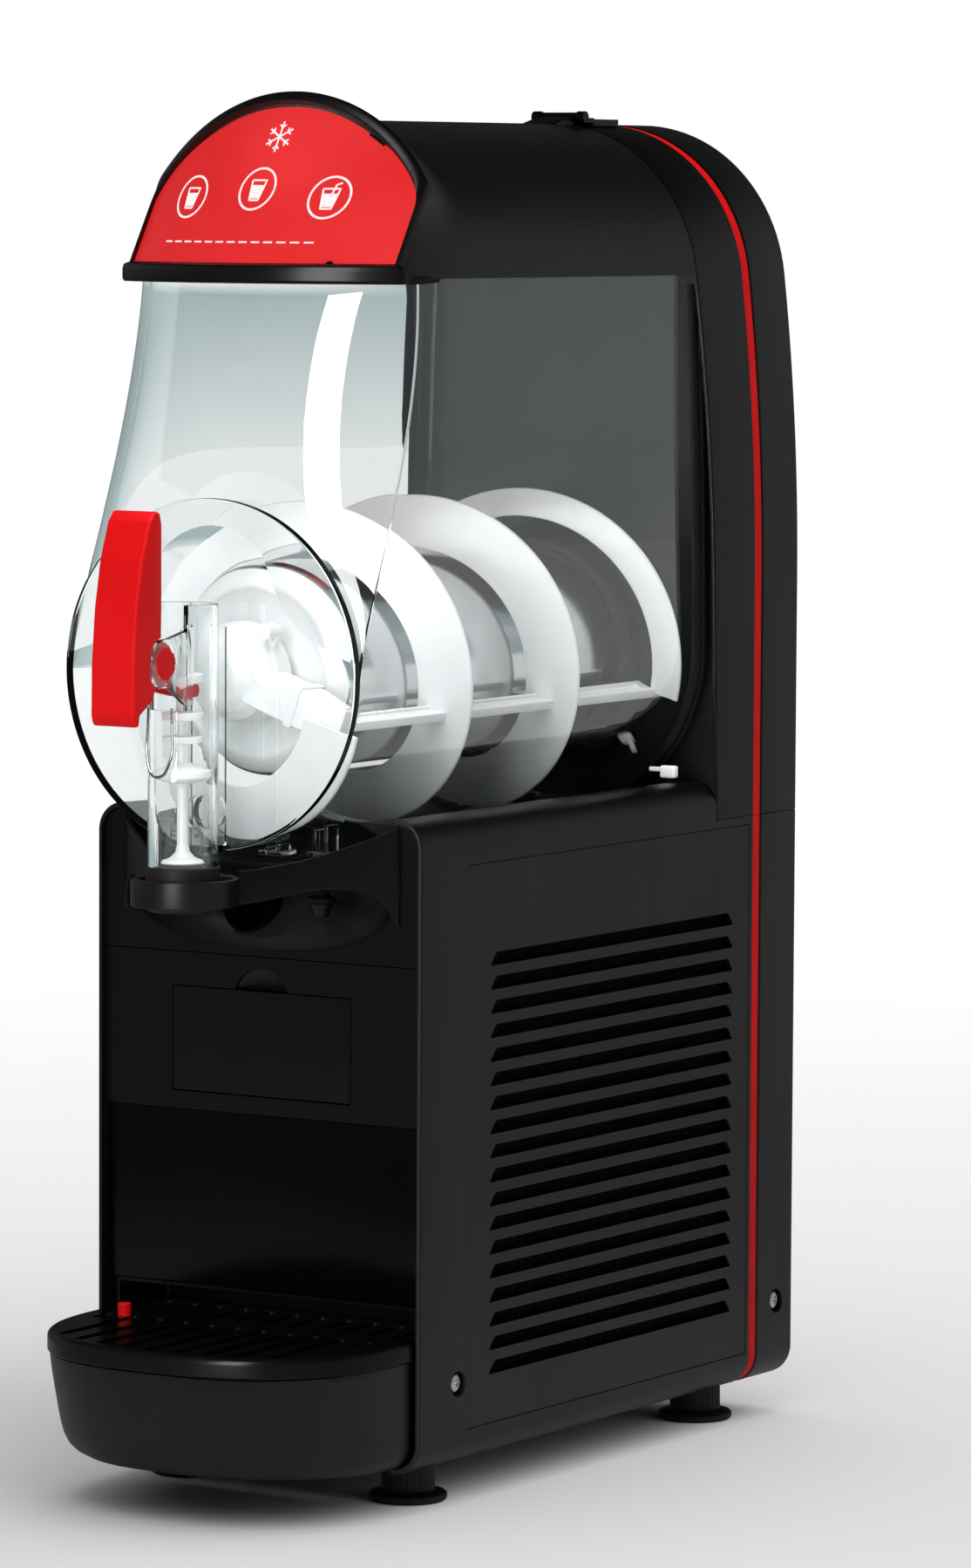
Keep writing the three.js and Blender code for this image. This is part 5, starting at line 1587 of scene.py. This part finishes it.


# The floor: pale paper with a painted shadow round the machine, and a painted reflection colour that glossy
# rays see.
def floor_with_painted_shadow():
    mesh = bpy.data.meshes.new("floor")
    size = 14.0
    mesh.from_pydata([(x, y, 0) for x, y in rectangle(-size, size, -size, size)], [], [(0, 1, 2, 3)])
    obj = bpy.data.objects.new("floor", mesh)
    bpy.context.scene.collection.objects.link(obj)
    shader = Shader("floor_paper")
    grain = shader.blend(shader.ranged(shader.noise(3), 0, 1), (0.79,) * 3, (0.81,) * 3)
    distance = shader.add("ShaderNodeVectorMath", {"operation": "LENGTH"})
    shader.tree.links.new(shader.coordinates, distance.inputs[0])
    away = distance.outputs["Value"]
    # painted shadow: the floor's colour darkens from 0.8 three metres out to 0.61 within half a metre of the
    # machine
    painted_shadow_tone = shader.blend(shader.ranged(away, 0, 1, 0.5, 3.2), (0.61,) * 3, grain)
    across = shader.add("ShaderNodeVectorMath", {"operation": "DOT_PRODUCT"})
    shader.tree.links.new(shader.coordinates, across.inputs[0])
    across.inputs[1].default_value = (*AWAY, 0)
    # painted reflection: glossy rays see the floor mid grey near the machine and darker further out, darkest
    # towards its front left and lightest towards its right and back
    far = shader.ranged(across.outputs["Value"], 0, 1, -1.2, 1.5)
    painted_reflection_far_grey = shader.blend(far, (0.04,) * 3, (0.17,) * 3)
    painted_reflection_grey = shader.blend(shader.ranged(away, 0, 1, 0.35, 1.1), (0.28,) * 3, painted_reflection_far_grey)
    rays = shader.add("ShaderNodeLightPath")
    mirror = shader.add("ShaderNodeMath", {"operation": "SUBTRACT", "use_clamp": True})
    shader.tree.links.new(rays.outputs["Is Glossy Ray"], mirror.inputs[0])
    shader.tree.links.new(rays.outputs["Is Transmission Ray"], mirror.inputs[1])
    shader.surface(
        Base_Color=shader.blend(mirror.outputs[0], painted_shadow_tone, painted_reflection_grey), Roughness=0.75, Specular_IOR_Level=0.1,
    )
    obj.data.materials.append(shader.material)
    return obj


floor = floor_with_painted_shadow()


def area_light(name, location, target, width, height, radiance):
    """A softbox that faces a target; radiance is what its face shows."""
    data = bpy.data.lights.new(name, "AREA")
    data.shape = "RECTANGLE"
    data.size, data.size_y = width, height
    data.energy = radiance * width * height * math.pi
    data.spread = math.pi
    obj = bpy.data.objects.new(name, data)
    obj.location = location
    aim = Vector(target) - Vector(location)
    obj.rotation_mode = "QUATERNION"
    obj.rotation_quaternion = aim.to_track_quat("-Z", "Y")
    bpy.context.scene.collection.objects.link(obj)
    obj.visible_camera = False
    return obj


def towards(azimuth, distance, height):
    """A place at a distance from the machine; azimuth 0 is in front of it and 90 to its right."""
    a = math.radians(azimuth)
    return (distance * math.sin(a), -distance * math.cos(a), height)


def only_on(lamp, objects):
    """Limits a lamp to some objects."""
    receivers = bpy.data.collections.new(lamp.name + "_receivers")
    for obj in objects:
        receivers.objects.link(obj)
    lamp.light_linking.receiver_collection = receivers


CLEAR = LIT["clear_polycarbonate"]
BRIGHT_SLOTS = ("white_plastic", "red_plastic", "stainless", "steel_wire", "aluminium")
BRIGHT = [piece for slot in BRIGHT_SLOTS for piece in LIT[slot]]
RIMS = [bpy.data.objects[name] for name in ("hood_brim", "grille")]
EDGE_NAMES = ("hood_shell", "guard_ring", "outlet_ring", "side_shell_right", "side_shell_left")
EDGES = [bpy.data.objects[name] for name in EDGE_NAMES]
SCOOP = [bpy.data.objects["upper_fascia"]]

# name, place, target, width, height, radiance, what it lights, whether nothing else shades that
LAMPS = [
    ("strip_box", towards(5.5, 2.2, 0.95), (0, 0, 0.62), 0.7, 1.6, 20.0, CLEAR, False),
    ("fill_box", towards(12, 2.4, 1.2), (0, 0, 0.5), 1.2, 1.6, 6.0, BRIGHT, False),
    ("top_box", (0.4, -0.6, 2.8), (0, 0, 0.4), 2.4, 2.4, 5.6, BRIGHT, False),
    ("glint_box", towards(7.4, 2.2, 1.1), (0, 0, 0.75), 0.8, 3.2, 12.0, RIMS, True),
    ("edge_box", towards(7.4, 2.2, 0.75), (0, 0, 0.75), 0.8, 2.4, 3.6, EDGES, True),
    ("rim_box", (0.25, -1.6, 2.8), (0, -0.2, 0.8), 1.0, 0.8, 3.4, EDGES, True),
    ("scoop_box", (-1.1, -0.3, 2.0), (0, -0.15, 0.38), 1.0, 1.0, 1.1, SCOOP, True),
]
for *box, receivers, unshaded in LAMPS:
    lamp = area_light(*box)
    only_on(lamp, receivers)
    if unshaded:
        lamp.light_linking.blocker_collection = lamp.light_linking.receiver_collection
    lamp.visible_transmission = False


def floor_sun(name, direction, energy, angle):
    """A broad sun that lights only the floor."""
    data = bpy.data.lights.new(name, "SUN")
    data.energy = energy
    data.angle = math.radians(angle)
    obj = bpy.data.objects.new(name, data)
    obj.rotation_mode = "QUATERNION"
    obj.rotation_quaternion = Vector(direction).to_track_quat("-Z", "Y")
    bpy.context.scene.collection.objects.link(obj)
    only_on(obj, [floor])


floor_sun("floor_sky", (0, 0, -1), 2.0, 130)
floor_sun("floor_sun", (-0.6, -0.15, -1), 2.45, 100)


def world():
    """White behind everything for the eye and through clear plastic; a dim room for reflections."""
    made = bpy.data.worlds.new("studio")
    bpy.context.scene.world = made
    made.use_nodes = True
    tree = made.node_tree
    tree.nodes.clear()

    def add(kind, settings=None, **inputs):
        item = tree.nodes.new(kind)
        for key, value in (settings or {}).items():
            setattr(item, key, value)
        for key, value in inputs.items():
            socket = item.inputs[int(key[1:])] if key[0] == "i" and key[1:].isdigit() else item.inputs[key]
            if isinstance(value, bpy.types.NodeSocket):
                tree.links.new(value, socket)
            else:
                socket.default_value = value
        return item

    direction = add("ShaderNodeTexCoord").outputs["Generated"]

    def number(operation, a, b):
        return add("ShaderNodeMath", {"operation": operation}, i0=a, i1=b).outputs[0]

    def lobe(middle, power, strength):
        """A soft bright patch of the room round a direction."""
        unit = Vector(middle).normalized()
        dot = add("ShaderNodeVectorMath", {"operation": "DOT_PRODUCT"}, i0=direction, i1=unit)
        ahead = number("MAXIMUM", dot.outputs["Value"], 0.0)
        return number("MULTIPLY", number("POWER", ahead, power), strength)

    total = lobe((*AWAY, 0.08), 3.0, 0.27)
    patches = [((-0.54, -0.84, 0.0), 2.0, 0.05), ((0.9, -0.3, 0.3), 2.0, 0.12), ((-0.88, -0.15, 0.4), 4.0, 0.3)]
    for patch in patches:
        total = number("ADD", total, lobe(*patch))
    height = add("ShaderNodeSeparateXYZ", Vector=direction).outputs["Z"]

    def ramp(start, end, low, high):
        made = add("ShaderNodeMapRange", Value=height)
        for name, value in zip(("From Min", "From Max", "To Min", "To Max"), (start, end, low, high)):
            made.inputs[name].default_value = value
        return made.outputs["Result"]

    total = number("ADD", number("MULTIPLY", total, ramp(0.33, 0.53, 1.0, 0.08)), 0.012)
    dim = add("ShaderNodeBackground", Strength=total, Color=(1, 1, 1, 1))
    rays = add("ShaderNodeLightPath")
    far = add("ShaderNodeMix", {"data_type": "RGBA"}, i0=ramp(-0.040, -0.012, 0.0, 1.0))
    far.inputs[6].default_value = (0.95, 0.98, 0.98, 1)
    far.inputs[7].default_value = (0.40, 0.505, 0.505, 1)
    through = add("ShaderNodeBackground", Strength=1.0, Color=far.outputs[2])
    seen = add("ShaderNodeBackground", Strength=1.0, Color=(1, 1, 1, 1))
    shown = dim
    for ray, other in (("Is Transmission Ray", through), ("Is Camera Ray", seen)):
        shown = add("ShaderNodeMixShader", i0=rays.outputs[ray], i1=shown.outputs[0], i2=other.outputs[0])
    add("ShaderNodeOutputWorld", Surface=shown.outputs[0])


world()
bpy.context.scene.view_settings.view_transform = "Standard"


def camera():
    data = bpy.data.cameras.new("camera")
    data.lens = 159.5
    data.sensor_width = 36.0
    data.clip_end = 100.0
    obj = bpy.data.objects.new("camera", data)
    obj.location = (2.41395, -3.67024, 0.8132)
    azimuth, pitch, roll = (math.radians(a) for a in (32.56, 4.93, 0.29))
    level = math.cos(pitch)
    forward = Vector((-math.sin(azimuth) * level, math.cos(azimuth) * level, -math.sin(pitch)))
    obj.rotation_mode = "QUATERNION"
    obj.rotation_quaternion = forward.to_track_quat("-Z", "Y") @ Quaternion((0, 0, 1), roll)
    bpy.context.scene.collection.objects.link(obj)
    bpy.context.scene.camera = obj


camera()
